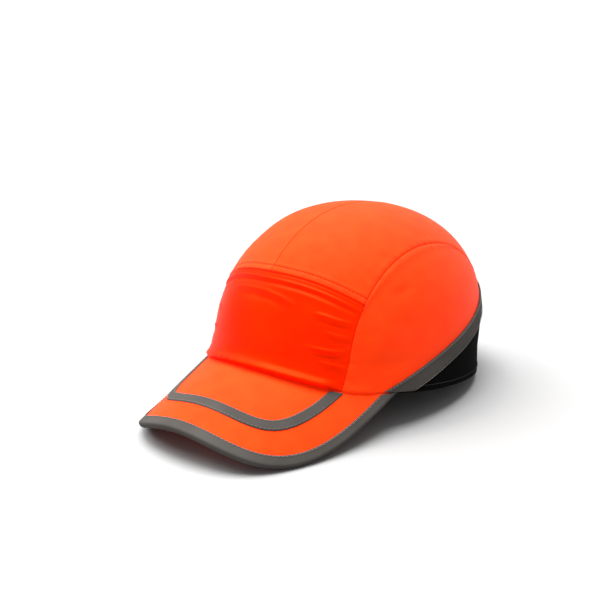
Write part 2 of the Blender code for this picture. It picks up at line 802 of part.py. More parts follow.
# Crown.
sheet_solid("front_panel", front_panel_skin, 0.0, FABRIC, ORANGE_SATIN)
sheet_solid("front_panel_backing", backing_skin, LINING_DEPTH, SEAM_TAPE, COTTON)
sheet_solid("crown_panel_left", crown_panel_skin, 0.0, FABRIC, ORANGE)
sheet_solid("crown_panel_right", mirrored(crown_panel_skin), 0.0, FABRIC, ORANGE)
sheet_solid("side_panel_left", side_panel_skin, 0.0, FABRIC, ORANGE)
sheet_solid("side_panel_right", mirrored(side_panel_skin), 0.0, FABRIC, ORANGE)
rear_panel = sheet_solid("rear_panel", rear_panel_skin, 0.0, FABRIC, BLACK_MESH)
cut(rear_panel, rear_opening_cutter(), "DIFFERENCE")
rear_opening_binding()
sheet_solid("rear_reflective_tape", tape_skin, -TAPE_GAP - TAPE_THICK, TAPE_THICK, REFLECTIVE)

# Brim, from the top face down.
under_board = BRIM_COVER + LAYER_GAP
under_cover = under_board + BRIM_BOARD + LAYER_GAP
sheet_solid("brim_top_cover", brim_skin, 0.0, BRIM_COVER, ORANGE)
sheet_solid("brim_board", brim_skin, under_board, BRIM_BOARD, BOARD)
sheet_solid("brim_under_cover", brim_skin, under_cover, BRIM_COVER, ORANGE)
brim_edge_binding()
sheet_solid("brim_reflective_stripe", stripe_skin, -LAYER_GAP - TAPE_THICK, TAPE_THICK, REFLECTIVE)

# Inside the crown.
sheet_solid("sweatband", sweatband_skin, LINING_DEPTH, BAND_THICK, TERRY)
sheet_solid("seam_tape_center", seam_tape_skin(0.0), LINING_DEPTH, SEAM_TAPE, COTTON)
sheet_solid("seam_tape_left", seam_tape_skin(SIDE_SEAM_X), LINING_DEPTH, SEAM_TAPE, COTTON)
sheet_solid("seam_tape_right", mirrored(seam_tape_skin(SIDE_SEAM_X)), LINING_DEPTH, SEAM_TAPE, COTTON)
sheet_solid("care_label", care_label_skin, LABEL_DEPTH, LABEL_THICK, LABEL)

# Insert with its pads.
insert_shell()
sheet_solid("foam_pad_crown", crown_pad_skin, PAD_DEPTH, PAD_THICK, FOAM)
sheet_solid("foam_pad_front", pad_skin(30 * mm, 62 * mm, half_angle=30, middle=0), PAD_DEPTH, PAD_THICK, FOAM)
sheet_solid("foam_pad_rear", pad_skin(60 * mm, 84 * mm, half_angle=26, middle=180), PAD_DEPTH, PAD_THICK, FOAM)
side_pad = pad_skin(33 * mm, 60 * mm, half_angle=22, middle=92)
sheet_solid("foam_pad_left", side_pad, PAD_DEPTH, PAD_THICK, FOAM)
sheet_solid("foam_pad_right", mirrored(side_pad), PAD_DEPTH, PAD_THICK, FOAM)

# Strap, from the outside in.
sheet_solid("strap_tail", strap_skin(168, HINGE_ANGLE - HINGE_GAP, 0.0, 11), STRAP_DEPTH, STRAP_THICK, BLACK_FABRIC)
hook_depth = STRAP_DEPTH + STRAP_THICK + LAYER_GAP
sheet_solid("strap_hook_patch", strap_skin(170, 192, 2 * mm, 7), hook_depth, PATCH_THICK, BLACK_MESH)
loop_depth = hook_depth + PATCH_THICK + LAYER_GAP
sheet_solid("strap_loop_patch", strap_skin(166, 195, 2 * mm, 9), loop_depth, PATCH_THICK, BLACK_MESH)
left_depth = loop_depth + PATCH_THICK + LAYER_GAP
sheet_solid("strap_left", strap_left_skin, left_depth, STRAP_THICK, BLACK_FABRIC)
sheet_solid("strap_anchor_right", strap_skin(HINGE_ANGLE, 216, 0.0, 5), STRAP_DEPTH, STRAP_THICK, BLACK_FABRIC)
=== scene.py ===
"""Looks of a high-visibility bump cap: sewn polyester panels, reflective trim and a vented insert.

Every piece is worked out in the cap's own frame, where the hem lies in the plane z = 0, the brim
points towards -Y and the wearer's left is +X. stand() then tips the points into the pose in which
the cap rests on a table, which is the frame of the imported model.
"""
import math

import bmesh
import bpy
import numpy as np
from mathutils import Matrix, Vector


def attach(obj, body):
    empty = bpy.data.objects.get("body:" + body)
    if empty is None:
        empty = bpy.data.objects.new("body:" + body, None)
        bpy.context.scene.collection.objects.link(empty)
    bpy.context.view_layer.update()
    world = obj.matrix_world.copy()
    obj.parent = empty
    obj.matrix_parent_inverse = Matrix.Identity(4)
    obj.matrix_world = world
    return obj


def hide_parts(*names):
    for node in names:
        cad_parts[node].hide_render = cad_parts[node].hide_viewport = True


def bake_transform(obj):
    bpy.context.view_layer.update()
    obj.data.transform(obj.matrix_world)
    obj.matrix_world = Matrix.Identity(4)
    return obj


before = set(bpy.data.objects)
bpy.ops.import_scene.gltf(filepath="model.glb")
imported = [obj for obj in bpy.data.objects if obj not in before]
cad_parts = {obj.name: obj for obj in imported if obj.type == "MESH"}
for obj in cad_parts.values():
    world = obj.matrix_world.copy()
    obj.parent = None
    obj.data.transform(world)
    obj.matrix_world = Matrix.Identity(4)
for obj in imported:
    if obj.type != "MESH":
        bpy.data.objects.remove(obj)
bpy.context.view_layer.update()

mm = 0.001

# Crown: a dome that leans back over a short flared skirt.
CROWN_HALF_WIDTH = 89.25 * mm
CROWN_FRONT = 104.5 * mm
CROWN_BACK = 108.9 * mm
SKIRT_HEIGHT = 19.3 * mm
SKIRT_FLARE = 0.022
DOME_HEIGHT = 97.5 * mm
DOME_POWER = 0.89
LEAN = 0.111

# Panels and seams.
CLOTH = 0.7 * mm
SEAM = 0.06 * mm                # gap between two panels
SIDE_SEAM_X = 62.0 * mm
SIDE_SEAM_CORNER = 28           # sweep in degrees from the side seam's widest place to its rear corner
FRONT_SEAM_TOP = 71.0 * mm
FRONT_SEAM_DROP = 14.6 * mm
FRONT_SEAM_CURVE = 2.5
GROOVE = 4.3                    # mm from the front seam to its topstitching
TURN_IN = 1.6                   # mm that a panel's edges turn in

# Reflective tape round the back.
REARWARD = np.array([0.0, 1.0, 0.3])
REAR_PANEL_START = 66
TAPE_START_UPPER = 58.0
TAPE_START_LOWER = 70.0
TAPE_TOP_UPPER = 74.0 * mm
TAPE_TOP_LOWER = 61.0 * mm
TAPE_LIFT = 0.9 * mm
TAPE_THICK = 0.35 * mm
TAPE_WIDTH = 14.5 * mm

# Brim: a sheet bent round an axis that slopes down to the front.
BRIM_SLOPE = math.radians(27.8)
BRIM_BEND = 105.0 * mm
BRIM_CONE = -0.18
BRIM_CONE_LENGTH = 70.0 * mm
BRIM_ROOT_Y = -105.8 * mm
BRIM_ROOT_Z = 6.7 * mm
BRIM_LENGTH = 66.9 * mm
BRIM_HALF_WIDTH = 91.2 * mm
BRIM_END_Q = -50.3 * mm
BRIM_ROUNDNESS = 3.19
BRIM_HEM_ANGLE = 64.0           # where the hem leaves the brim, and how far it takes to come down
BRIM_HEM_BLEND = 8.0
BRIM_ROOT_TURN = 61.0
BRIM_EDGE_TURN = 87.0
BRIM_STACK = 3.2 * mm
BRIM_TUCK = 3.0 * mm
BRIM_CLOTH = 0.45 * mm
BRIM_UNDER_DEPTH = 2.9 * mm
BRIM_CLOTH_INSET = 1.5 * mm
BRIM_UP = np.array([0.0, -math.sin(BRIM_SLOPE), math.cos(BRIM_SLOPE)])
HEM_GAP = 0.4 * mm
BINDING_FRONT = 8.7 * mm
BINDING_SIDE = 6.6 * mm
BINDING_OVERRUN = 9.0 * mm
STRIPE_OUTER = (24.1 * mm, 25.2 * mm)   # from the brim's edge, at its sides and at its front
STRIPE_INNER = (31.6 * mm, 33.6 * mm)
STRIPE_HEIGHT = 0.72 * mm
STRIPE_THICK = 0.3 * mm

# Layers inside the crown, as depths below its outer face.
LINING_DEPTH = 1.7 * mm
SEAM_TAPE = 0.5 * mm
SEAM_TAPE_WIDTH = 12.0 * mm
BAND_THICK = 1.5 * mm
BAND_END = 142.0
BAND_HEIGHT = 30.0 * mm
BACKING_HALF_WIDTH = 53.0 * mm
LABEL_DEPTH = 3.8 * mm
LABEL_THICK = 0.3 * mm
LABEL_ANGLE = 125
LABEL_HALF_ANGLE = 9
LABEL_LOW = 2.0 * mm
LABEL_HIGH = 21.0 * mm
LABEL_LIFT = 1.3 * mm
INSERT_DEPTH = 5.0 * mm
INSERT_WALL = 2.0 * mm
INSERT_RIM_FRONT = 23.0 * mm
INSERT_RIM_SIDE = 27.0 * mm
INSERT_RIM_REAR = 54.0 * mm
INSERT_NOTCH_ANGLE = 128        # where the notch over the rear opening starts, and how far it takes
INSERT_NOTCH_BLEND = 17
INSERT_BEAD = 0.65 * mm
RIB_ROWS = (-47.0, -26.0, 26.0, 47.0)
RIB_HALF_WIDTH = 3.2 * mm
RIB_TOP = 3.1 * mm
RIB_BASE = 6.2 * mm
RIB_START_HEIGHT = 56.0 * mm
RIB_END_HEIGHT = 62.0 * mm
SLOT_ROWS = (-57.0, -36.5, -13.0, 13.0, 36.5, 57.0)
SLOT_ARCS = ((52, 66), (72, 87), (93, 108), (114, 128))
SLOT_HALF_WIDTH = 3.4 * mm
PAD_DEPTH = 7.9 * mm
PAD_THICK = 5.3 * mm
PAD_ROUND = 2.6 * mm
CROWN_PAD_HALF_WIDTH = 32.0
CROWN_PAD_HALF_SWEEP = 26
CROWN_PAD_CURVE = 40.0

# Rear opening and its strap.
OPENING_HALF_WIDTH = 42.0 * mm
OPENING_HEIGHT = 46.0 * mm
OPENING_ALLOWANCE = 2.2 * mm    # of the hole in the cloth, which the binding covers
STRAP_LOW = 3.0 * mm
STRAP_HIGH = 22.0 * mm
STRAP_DEPTH = 2.6 * mm
STRAP_THICK = 1.0 * mm
PATCH_THICK = 0.5 * mm
STRAP_LEFT_DIP = 3.0 * mm
LAYER_GAP = 0.3 * mm
STRAP_RIGHT = (168, 216)        # compass angles of each part's ends
STRAP_LEFT = (144, 197)
HOOK_PATCH = (170, 192)
LOOP_PATCH = (166, 195)
ANCHOR_STITCHES = (206, 214)
PATCH_MARGIN = 2.0 * mm
HOOK_STITCHES_IN = 0.6          # degrees from the patch's ends to its stitches
LOOP_STITCHES_IN = 0.8
HINGE_ANGLE = 201.5
HINGE_SPREAD = 1.6
HINGE_HEIGHT = 12.0 * mm

# Resting pose.
REST_PITCH = math.radians(10.07)
REST_SHIFT = np.array([0.0, 24.1, 17.3]) * mm
REST_TURN = np.array(Matrix.Rotation(-REST_PITCH, 3, "X"))


# ---------------- surfaces of the cap

def mix(a, b, t):
    """The value that lies the share t of the way from a to b."""
    return a + (b - a) * t


def ease(t):
    """0 up to t = 0, 1 from t = 1, and a smooth step between."""
    t = np.clip(t, 0.0, 1.0)
    return t * t * (3 - 2 * t)


def bump(distance, width):
    """Bell curve: 1 at distance 0, and gone by twice the width."""
    return np.exp(-(distance / width) ** 2)


def points(x, y, z):
    """One array of points from three arrays that broadcast together."""
    return np.stack(np.broadcast_arrays(x, y, z), axis=-1).astype(float)


def girth(z):
    """Scale of the crown's plan at height z: 1 at the foot of the dome, 0 at its top."""
    rise = np.clip((z - SKIRT_HEIGHT) / DOME_HEIGHT, 0, 1) ** (1 / DOME_POWER)
    dome = (1 - rise * rise) ** (DOME_POWER / 2)
    return np.where(z < SKIRT_HEIGHT, 1 + SKIRT_FLARE * (1 - z / SKIRT_HEIGHT), dome)


def height(k):
    """Height at which the plan has the scale k."""
    inside = np.clip(k, 0, 1) ** (2 / DOME_POWER)
    dome = SKIRT_HEIGHT + DOME_HEIGHT * (1 - inside) ** (DOME_POWER / 2)
    return np.where(k > 1, SKIRT_HEIGHT * (1 - (k - 1) / SKIRT_FLARE), dome)


def reach(toward_back):
    """Half length of the crown's plan in front of its widest place, or behind it."""
    return np.where(toward_back, CROWN_BACK, CROWN_FRONT)


def crown_normal(p):
    """Outward directions of the crown's face at the points p."""
    x, y, z = p[..., 0], p[..., 1], p[..., 2]
    along = y - LEAN * z
    nx = 2 * x / CROWN_HALF_WIDTH ** 2
    ny = 2 * along / reach(along > 0) ** 2
    part = np.clip((z - SKIRT_HEIGHT) / DOME_HEIGHT, 1e-6, 1)
    rise = part ** (1 / DOME_POWER)
    left = np.maximum(1 - rise * rise, 1e-6)
    dome = -2 * rise * left ** (DOME_POWER - 1) * part ** (1 / DOME_POWER - 1) / DOME_HEIGHT
    slope = np.where(z < SKIRT_HEIGHT, -2 * girth(z) * SKIRT_FLARE / SKIRT_HEIGHT, dome)
    n = points(nx, ny, -slope - LEAN * ny)
    return n / np.linalg.norm(n, axis=-1, keepdims=True)


def row(first, last, count):
    """Even steps across a grid."""
    return np.linspace(first, last, count)[None, :]


def column(first, last, count):
    """Even steps down a grid."""
    return np.linspace(first, last, count)[:, None]


def raised(p, out):
    """Points moved outwards from the crown's face."""
    return p + crown_normal(p) * np.asarray(out)[..., None]


def crown_point(angle, z, out=0.0):
    """Points at compass angles in degrees, 0 at the front and 90 at the wearer's left."""
    turn = np.radians(angle)
    k = girth(np.asarray(z, float))
    y = -reach(np.cos(turn) < 0) * k * np.cos(turn) + LEAN * np.asarray(z)
    return raised(points(CROWN_HALF_WIDTH * k * np.sin(turn), y, z), out)


def slice_point(x, sweep, out=0.0):
    """Points on the lengthwise slices at x, where sweep runs from 0 at the front to 180 at the back."""
    side = x / CROWN_HALF_WIDTH
    far = reach(np.asarray(sweep) > 90)
    along = -far * np.sqrt(np.maximum(1 - side * side, 0)) * np.cos(np.radians(sweep))
    z = height(np.hypot(side, along / far))
    return raised(points(x, along + LEAN * z, z), out)


def angle_at(x, z):
    """Compass angle at which the crown's front half has the given x at height z."""
    return np.degrees(np.arcsin(np.clip(x / CROWN_HALF_WIDTH / girth(z), -1, 1)))


def compass(p):
    """Compass angles of points on the crown, from 0 to 180 on both sides."""
    along = p[..., 1] - LEAN * p[..., 2]
    return np.degrees(np.arctan2(np.abs(p[..., 0]) / CROWN_HALF_WIDTH, -along / reach(along > 0)))


def outside_crown(p, gap):
    """True where p is further out than the crown's face by more than gap."""
    along = p[..., 1] - LEAN * p[..., 2]
    k = np.hypot(p[..., 0] / CROWN_HALF_WIDTH, along / reach(along > 0))
    return k > girth(p[..., 2]) * (CROWN_HALF_WIDTH + gap) / CROWN_HALF_WIDTH


def brim_point(p, q, out=0.0):
    """Points on the brim's top face: p is the way round the bend, q the way to the front."""
    radius = BRIM_BEND * (1 + BRIM_CONE * q / BRIM_CONE_LENGTH)
    turn = p / radius
    lift = radius * (np.cos(turn) - 1) + out * np.cos(turn)
    y = BRIM_ROOT_Y - q * math.cos(BRIM_SLOPE) - lift * math.sin(BRIM_SLOPE)
    z = BRIM_ROOT_Z - q * math.sin(BRIM_SLOPE) + lift * math.cos(BRIM_SLOPE)
    return points((radius + out) * np.sin(turn), y, z)


def brim_flat(x, y):
    """The sheet coordinates p, q of the points above x, y."""
    q = np.zeros_like(x)
    for _ in range(30):
        radius = BRIM_BEND * (1 + BRIM_CONE * q / BRIM_CONE_LENGTH)
        drop = radius - np.sqrt(radius * radius - x * x)
        q = (BRIM_ROOT_Y + drop * math.sin(BRIM_SLOPE) - y) / math.cos(BRIM_SLOPE)
    return radius * np.arcsin(x / radius), q


def brim_outline(turn):
    """Superellipse of the brim in sheet coordinates, at angles from the front."""
    s = np.sin(np.radians(turn))
    c = np.maximum(np.cos(np.radians(turn)), 0.0)
    out = (np.abs(s) ** BRIM_ROUNDNESS + c ** BRIM_ROUNDNESS) ** (-1 / BRIM_ROUNDNESS)
    return np.stack([BRIM_HALF_WIDTH * out * s, BRIM_END_Q + (BRIM_LENGTH - BRIM_END_Q) * out * c], -1)


def brim_edge(t, inset=0.0):
    """Outline of the brim in sheet coordinates: t is -90 and 90 at its ends and 0 at the front."""
    along = brim_outline(np.minimum(t + 0.5, 90.0)) - brim_outline(np.maximum(t - 0.5, -90.0))
    along /= np.linalg.norm(along, axis=-1, keepdims=True)
    inward = np.stack([along[..., 1], -along[..., 0]], -1)
    return brim_outline(t) + inward * np.asarray(inset)[..., None]


def on_brim(t, inset, out=0.0):
    """Points inset from the brim's outline and raised from its top face."""
    flat = brim_edge(t, inset)
    return brim_point(flat[..., 0], flat[..., 1], out)


def hem_height(angle, out=0.0):
    """The hem rests on the brim at the front and lies in the plane z = 0 behind it."""
    turn = np.abs(np.where(np.asarray(angle) < 180, angle, 360 - np.asarray(angle)))
    z = np.zeros_like(turn, dtype=float)
    front = np.minimum(turn, BRIM_HEM_ANGLE + BRIM_HEM_BLEND)
    for _ in range(30):
        p = crown_point(front, z, out)
        z = z + brim_point(*brim_flat(p[..., 0], p[..., 1]))[..., 2] + HEM_GAP - p[..., 2]
    return mix(z, 0.0, ease((turn - BRIM_HEM_ANGLE) / BRIM_HEM_BLEND))


def tape_height(angle, across):
    """Height of the reflective tape: across runs from 0 at its lower edge to 1 at its upper edge."""
    turn = np.minimum(angle, 360 - np.asarray(angle))
    start = mix(TAPE_START_LOWER, TAPE_START_UPPER, across)
    top = mix(TAPE_TOP_LOWER, TAPE_TOP_UPPER, across)
    return top * np.sin(np.radians(90 * (turn - start) / (180 - start)))


def front_seam(x):
    """Height of the front panel's top seam at x."""
    return FRONT_SEAM_TOP - FRONT_SEAM_DROP * np.abs(x / SIDE_SEAM_X) ** FRONT_SEAM_CURVE


def solve(test, low, high):
    """Values between low and high at which test turns from false to true."""
    low = np.array(low, float)
    high = np.array(high, float)
    for _ in range(40):
        middle = (low + high) / 2
        past = test(middle)
        high = np.where(past, middle, high)
        low = np.where(past, low, middle)
    return (low + high) / 2


def front_sweep(x):
    """Where the slice at x meets the front panel's top seam."""
    return solve(lambda s: slice_point(x, s)[..., 2] > front_seam(x) + SEAM, 0 * x, 90 + 0 * x)


def rear_sweep(x, across):
    """Where the slice at x meets a line of the tape at the back."""
    def past(s):
        p = slice_point(x, s)
        return p[..., 2] < tape_height(compass(p), across)
    return solve(past, 90 + 0 * x, 180 + 0 * x)


def stand(p):
    """From the cap's own frame into its resting pose."""
    return p @ REST_TURN.T + REST_SHIFT


# ---------------- making pieces

def stations(length, fine, coarse, edge=0.0):
    """Values from 0 to 1 along a length. The steps are fine at both ends, as far in as edge, then coarse."""
    steps = [fine]
    while sum(steps) < length / 2:
        steps.append(fine if sum(steps) < edge else min(steps[-1] * 1.25, coarse))
    half = np.concatenate([[0.0], np.cumsum(steps)])
    half *= length / 2 / half[-1]
    return np.concatenate([half, length - half[-2::-1]]) / length


def run(p, axis):
    """Distance along one direction of a grid of points, from its first line."""
    step = np.linalg.norm(np.diff(p, axis=axis), axis=-1)
    start = np.zeros_like(np.take(step, [0], axis=axis))
    return np.concatenate([start, np.cumsum(step, axis=axis)], axis=axis)


def add_object(name, mesh, finish):
    """Adds a mesh to the scene with one finish."""
    mesh.materials.append(finish)
    made = bpy.data.objects.new(name, mesh)
    bpy.context.scene.collection.objects.link(made)
    return made


def grid_faces(rows, columns, closed=False):
    """Four corners of each cell of a grid. A closed grid joins its last column to its first."""
    i, j = np.meshgrid(np.arange(rows - 1), np.arange(columns if closed else columns - 1), indexing="ij")
    k = (j + 1) % columns
    return np.stack([i * columns + j, i * columns + k, (i + 1) * columns + k, (i + 1) * columns + j], -1)


def mesh_of(name, p, faces, uv=None):
    """Smooth-shaded mesh in the resting pose. uv holds the cloth's own coordinates in metres."""
    mesh = bpy.data.meshes.new(name)
    mesh.from_pydata(stand(p.reshape(-1, 3)).tolist(), [], faces.reshape(-1, 4).tolist())
    mesh.update()
    if uv is not None:
        corner = np.empty(len(mesh.loops), int)
        mesh.loops.foreach_get("vertex_index", corner)
        layer = mesh.uv_layers.new(name="cloth")
        layer.data.foreach_set("uv", uv.reshape(-1, 2)[corner].ravel())
    mesh.shade_smooth()
    return mesh


def cut_size(p, keep=None):
    """Works out the size of the cloth that covers the grid p, without keeping it."""
    diagonals = np.cross(p[1:, 1:] - p[:-1, :-1], p[1:, :-1] - p[:-1, 1:])
    area = np.linalg.norm(diagonals, axis=-1) / 2
    if keep is not None:
        area = area[keep]
    wide = run(p, 1).max()
    max(run(p, 0).max(), area.sum() / wide)


def cloth(name, p, thick, finish, keep=None, outward=None):
    """Sheet of cloth whose outer face is the grid p. keep marks the cells that aren't cut away."""
    faces = grid_faces(*p.shape[:2])
    i, j = p.shape[0] // 2, p.shape[1] // 2
    if outward is None:
        outward = crown_normal(p[i, j])
    turn = np.cross(p[i, j + 1] - p[i, j], p[i + 1, j] - p[i, j])
    if np.dot(turn, outward) < 0:
        faces = faces[..., ::-1]
    if keep is not None:
        faces = faces[keep]
    cut_size(p, keep)
    uv = np.stack([run(p, 1), run(p, 0)], -1)
    made = add_object(name, mesh_of(name, p, faces, uv), finish)
    if keep is not None:
        drop_loose(made)
    body = made.modifiers.new("thickness", "SOLIDIFY")
    body.thickness = thick
    body.offset = -1
    body.use_even_offset = False
    return made


def panel(name, base, out, finish):
    """Cloth panel that lies out mm off the crown's face, with its seam allowances turned inwards."""
    base = np.pad(base, ((1, 1), (1, 1), (0, 0)), mode="edge")
    out = np.pad(out, 1, mode="edge")
    turned = np.minimum(out, -TURN_IN)
    turned[1:-1, 1:-1] = out[1:-1, 1:-1]
    return cloth(name, raised(base, turned * mm), CLOTH, finish)


def drop_loose(made):
    """Removes the points that no face uses."""
    bm = bmesh.new()
    bm.from_mesh(made.data)
    bmesh.ops.delete(bm, geom=[v for v in bm.verts if not v.link_faces], context="VERTS")
    bm.to_mesh(made.data)
    bm.free()


def band(name, sections, finish):
    """Closed strip through the sections, each a ring of points, with a cap on both ends."""
    rows, count = sections.shape[:2]
    faces = grid_faces(rows, count, closed=True)
    i, j = rows // 2, 0
    ring = sections[i]
    out = ring[j] - ring.mean(axis=0)
    turn = np.cross(ring[(j + 1) % count] - ring[j], sections[i + 1, j] - ring[j])
    if np.dot(turn, out) < 0:
        faces = faces[..., ::-1]
    round_it = np.linalg.norm(np.diff(ring, axis=0, append=ring[:1]), axis=-1)
    around = np.concatenate([[0.0], np.cumsum(round_it)])[:count]
    along = run(sections, 0)
    uv = np.stack([along, np.broadcast_to(around, along.shape)], -1)
    girth_of = run(np.concatenate([sections, sections[:, :1]], axis=1), 1)[:, -1]
    made = add_object(name, mesh_of(name, sections, faces, uv), finish)
    close_ends(made)
    return made


def close_ends(made):
    """Fills the open ends of a strip."""
    bm = bmesh.new()
    bm.from_mesh(made.data)
    edges = [e for e in bm.edges if len(e.link_faces) == 1]
    bmesh.ops.holes_fill(bm, edges=edges, sides=0)
    bmesh.ops.recalc_face_normals(bm, faces=bm.faces)
    bm.to_mesh(made.data)
    bm.free()


def stitches(name, lines, finish, length=2.1 * mm, pitch=2.9 * mm, radius=0.22 * mm, sides=6):
    """Rows of lockstitch: short rounded threads along each line of (points, normals).

    The threads are about half as thick again as real ones, so that they show.
    """
    shape = np.array([(-0.5, 0.0, -0.5), (-0.42, 0.75, 0.1), (-0.2, 1.0, 0.55),
                      (0.2, 1.0, 0.55), (0.42, 0.75, 0.1), (0.5, 0.0, -0.5)])
    verts = []
    faces = []
    for line, normals in lines:
        way = np.concatenate([[0.0], np.cumsum(np.linalg.norm(np.diff(line, axis=0), axis=-1))])
        for centre in np.arange(pitch / 2, way[-1], pitch):
            at = np.array([np.interp(centre, way, line[:, k]) for k in range(3)])
            up = np.array([np.interp(centre, way, normals[:, k]) for k in range(3)])
            ahead = np.array([np.interp(centre + 1 * mm, way, line[:, k]) for k in range(3)]) - at
            if np.linalg.norm(ahead) < 1e-6:
                continue
            ahead /= np.linalg.norm(ahead)
            side = np.cross(up, ahead)
            base = len(verts)
            for place, thick, lift in shape:
                for s in range(sides):
                    turn = 2 * math.pi * s / sides
                    ring = side * math.cos(turn) + up * math.sin(turn)
                    verts.append(at + ahead * place * length + up * lift * radius
                                 + ring * radius * (0.25 + 0.75 * thick))
            for i in range(len(shape) - 1):
                for s in range(sides):
                    k = (s + 1) % sides
                    a, b = base + i * sides, base + (i + 1) * sides
                    faces.append((a + s, a + k, b + k, b + s))
            faces.append(tuple(base + s for s in reversed(range(sides))))
            last = base + (len(shape) - 1) * sides
            faces.append(tuple(last + s for s in range(sides)))
    mesh = bpy.data.meshes.new(name)
    mesh.from_pydata(stand(np.array(verts)).tolist(), [], faces)
    mesh.update()
    mesh.shade_smooth()
    return add_object(name, mesh, finish)


# ---------------- how the cloth lies

def fold(p, route, width, rise):
    """Soft ridge along a route of (compass angle, height in mm) points, fading out at both ends."""
    route = np.array(route, float)
    t = np.linspace(0, len(route) - 1, 8 * len(route))
    angle = np.interp(t, range(len(route)), route[:, 0])
    z = np.interp(t, range(len(route)), route[:, 1]) * mm
    line = crown_point(angle, z)
    taper = np.sin(np.pi * np.linspace(0.02, 0.98, len(t))) ** 0.7
    gap = np.linalg.norm(p[..., None, :] - line, axis=-1)
    near = np.argmin(gap, axis=-1)
    return rise * taper[near] * bump(np.min(gap, axis=-1), width * mm)


def ripple(p, size, seed):
    """Slow uneven waves, about size mm apart, from -1 to 1."""
    draw = np.random.default_rng(seed)
    total = np.zeros(p.shape[:-1])
    for _ in range(7):
        way = draw.normal(size=3)
        way *= 2 * np.pi / (size * mm * draw.uniform(0.7, 1.6)) / np.linalg.norm(way)
        total += np.sin(p @ way + draw.uniform(0, 6.28))
    return total / 7 ** 0.5


def roll_in(distance, depth, reach_in):
    """How far the cloth turns down where it goes into a seam. All are in mm."""
    return -depth * bump(distance, reach_in)


def pucker(distance, along, size, amount, seed):
    """Small gathers across a seam, strongest 2 mm beside it. All are in mm."""
    draw = np.random.default_rng(seed)
    wave = sum(np.sin(2 * np.pi * along / (size * draw.uniform(0.6, 1.7)) + draw.uniform(0, 6.28))
               for _ in range(4)) / 2
    return amount * wave * bump(distance - 2.0, 3.2)


# ---------------- finishes

def linear(hex_code):
    """A colour given as sRGB hex, as linear values."""
    parts = [int(hex_code[i:i + 2], 16) / 255 for i in (0, 2, 4)]
    return tuple(c / 12.92 if c <= 0.04045 else ((c + 0.055) / 1.055) ** 2.4 for c in parts) + (1.0,)


def add_node(tree, kind, links=None, **settings):
    """Adds a node. Settings that name an input set it, others set a property; links feed inputs."""
    node = tree.nodes.new(kind)
    for key, value in settings.items():
        name = key.replace("_", " ")
        found = [s for s in node.inputs if s.name.lower() == name.lower()]
        if found:
            found[0].default_value = value
        else:
            setattr(node, key, value)
    for key, source in (links or {}).items():
        tree.links.new(source, node.inputs[key])
    return node


def start_finish(name, roughness, specular=0.5, gloss="FFFFFF", metallic=0.0):
    """Begins a material: its name and the values that are the same all over."""
    made = bpy.data.materials.new(name)
    made.use_nodes = True
    tree = made.node_tree
    shader = tree.nodes["Principled BSDF"]
    shader.inputs["Roughness"].default_value = roughness
    shader.inputs["Metallic"].default_value = metallic
    shader.inputs["Specular Tint"].default_value = linear(gloss)
    shader.inputs["Specular IOR Level"].default_value = specular
    return made, tree, shader


# Painted shade of the weave: its raised crossings are painted lighter and its hollows darker.
WEAVE_PAINTED_SHADE = 0.12              # how far the weave moves the colour between dark and light


def woven(name, dark, light, spacing, roughness, specular=0.5, strength=0.25, depth=0.05, sheen=0.0,
          gloss="FFFFFF", mottle=25.0, metallic=0.0):
    """Woven cloth: over-and-under threads at a spacing in mm, painted shade in their hollows, and dye
    changes mottle mm wide.
    """
    made, tree, shader = start_finish(name, roughness, specular, gloss, metallic)
    place = add_node(tree, "ShaderNodeTexCoord")
    turns = 2 * math.pi / (spacing * mm)
    scaled = add_node(tree, "ShaderNodeVectorMath", {0: place.outputs["UV"]}, operation="SCALE",
                      Scale=turns)
    axes = add_node(tree, "ShaderNodeSeparateXYZ", {0: scaled.outputs[0]})
    across = add_node(tree, "ShaderNodeMath", {0: axes.outputs["X"]}, operation="SINE")
    along = add_node(tree, "ShaderNodeMath", {0: axes.outputs["Y"]}, operation="SINE")
    weave = add_node(tree, "ShaderNodeMath", {0: across.outputs[0], 1: along.outputs[0]},
                     operation="MULTIPLY")
    dye = add_node(tree, "ShaderNodeTexNoise", {"Vector": place.outputs["Object"]}, Scale=1000 / mottle,
                   Detail=3.0, Roughness=0.55)
    # Painted shade: the weave's height moves the colour towards light on its crossings and dark in its
    # hollows, on top of the dye.
    dye_and_weave_shade = add_node(tree, "ShaderNodeMath", {0: weave.outputs[0]}, operation="MULTIPLY_ADD")
    dye_and_weave_shade.inputs[1].default_value = WEAVE_PAINTED_SHADE
    tree.links.new(dye.outputs["Fac"], dye_and_weave_shade.inputs[2])
    colour = add_node(tree, "ShaderNodeValToRGB", {"Fac": dye_and_weave_shade.outputs[0]})
    colour.color_ramp.elements[0].position = 0.3
    colour.color_ramp.elements[0].color = linear(dark)
    colour.color_ramp.elements[1].position = 0.7
    colour.color_ramp.elements[1].color = linear(light)
    tree.links.new(colour.outputs["Color"], shader.inputs["Base Color"])
    relief = add_node(tree, "ShaderNodeBump", {"Height": weave.outputs[0]}, Strength=strength,
                      Distance=depth * mm)
    tree.links.new(relief.outputs["Normal"], shader.inputs["Normal"])
    shader.inputs["Sheen Weight"].default_value = sheen
    return made


def plain_finish(name, code, roughness, specular=0.5, grain=0.6, depth=0.04, strength=0.3):
    """Moulded, spun or foamed surface of one colour with a fine grain, in mm."""
    made, tree, shader = start_finish(name, roughness, specular=specular)
    place = add_node(tree, "ShaderNodeTexCoord")
    speck = add_node(tree, "ShaderNodeTexNoise", {"Vector": place.outputs["Object"]},
                     Scale=1000 / (3 * grain), Detail=2.0)
    relief = add_node(tree, "ShaderNodeBump", {"Height": speck.outputs["Fac"]}, Strength=strength,
                      Distance=depth * mm)
    shader.inputs["Base Color"].default_value = linear(code)
    tree.links.new(relief.outputs["Normal"], shader.inputs["Normal"])
    return made


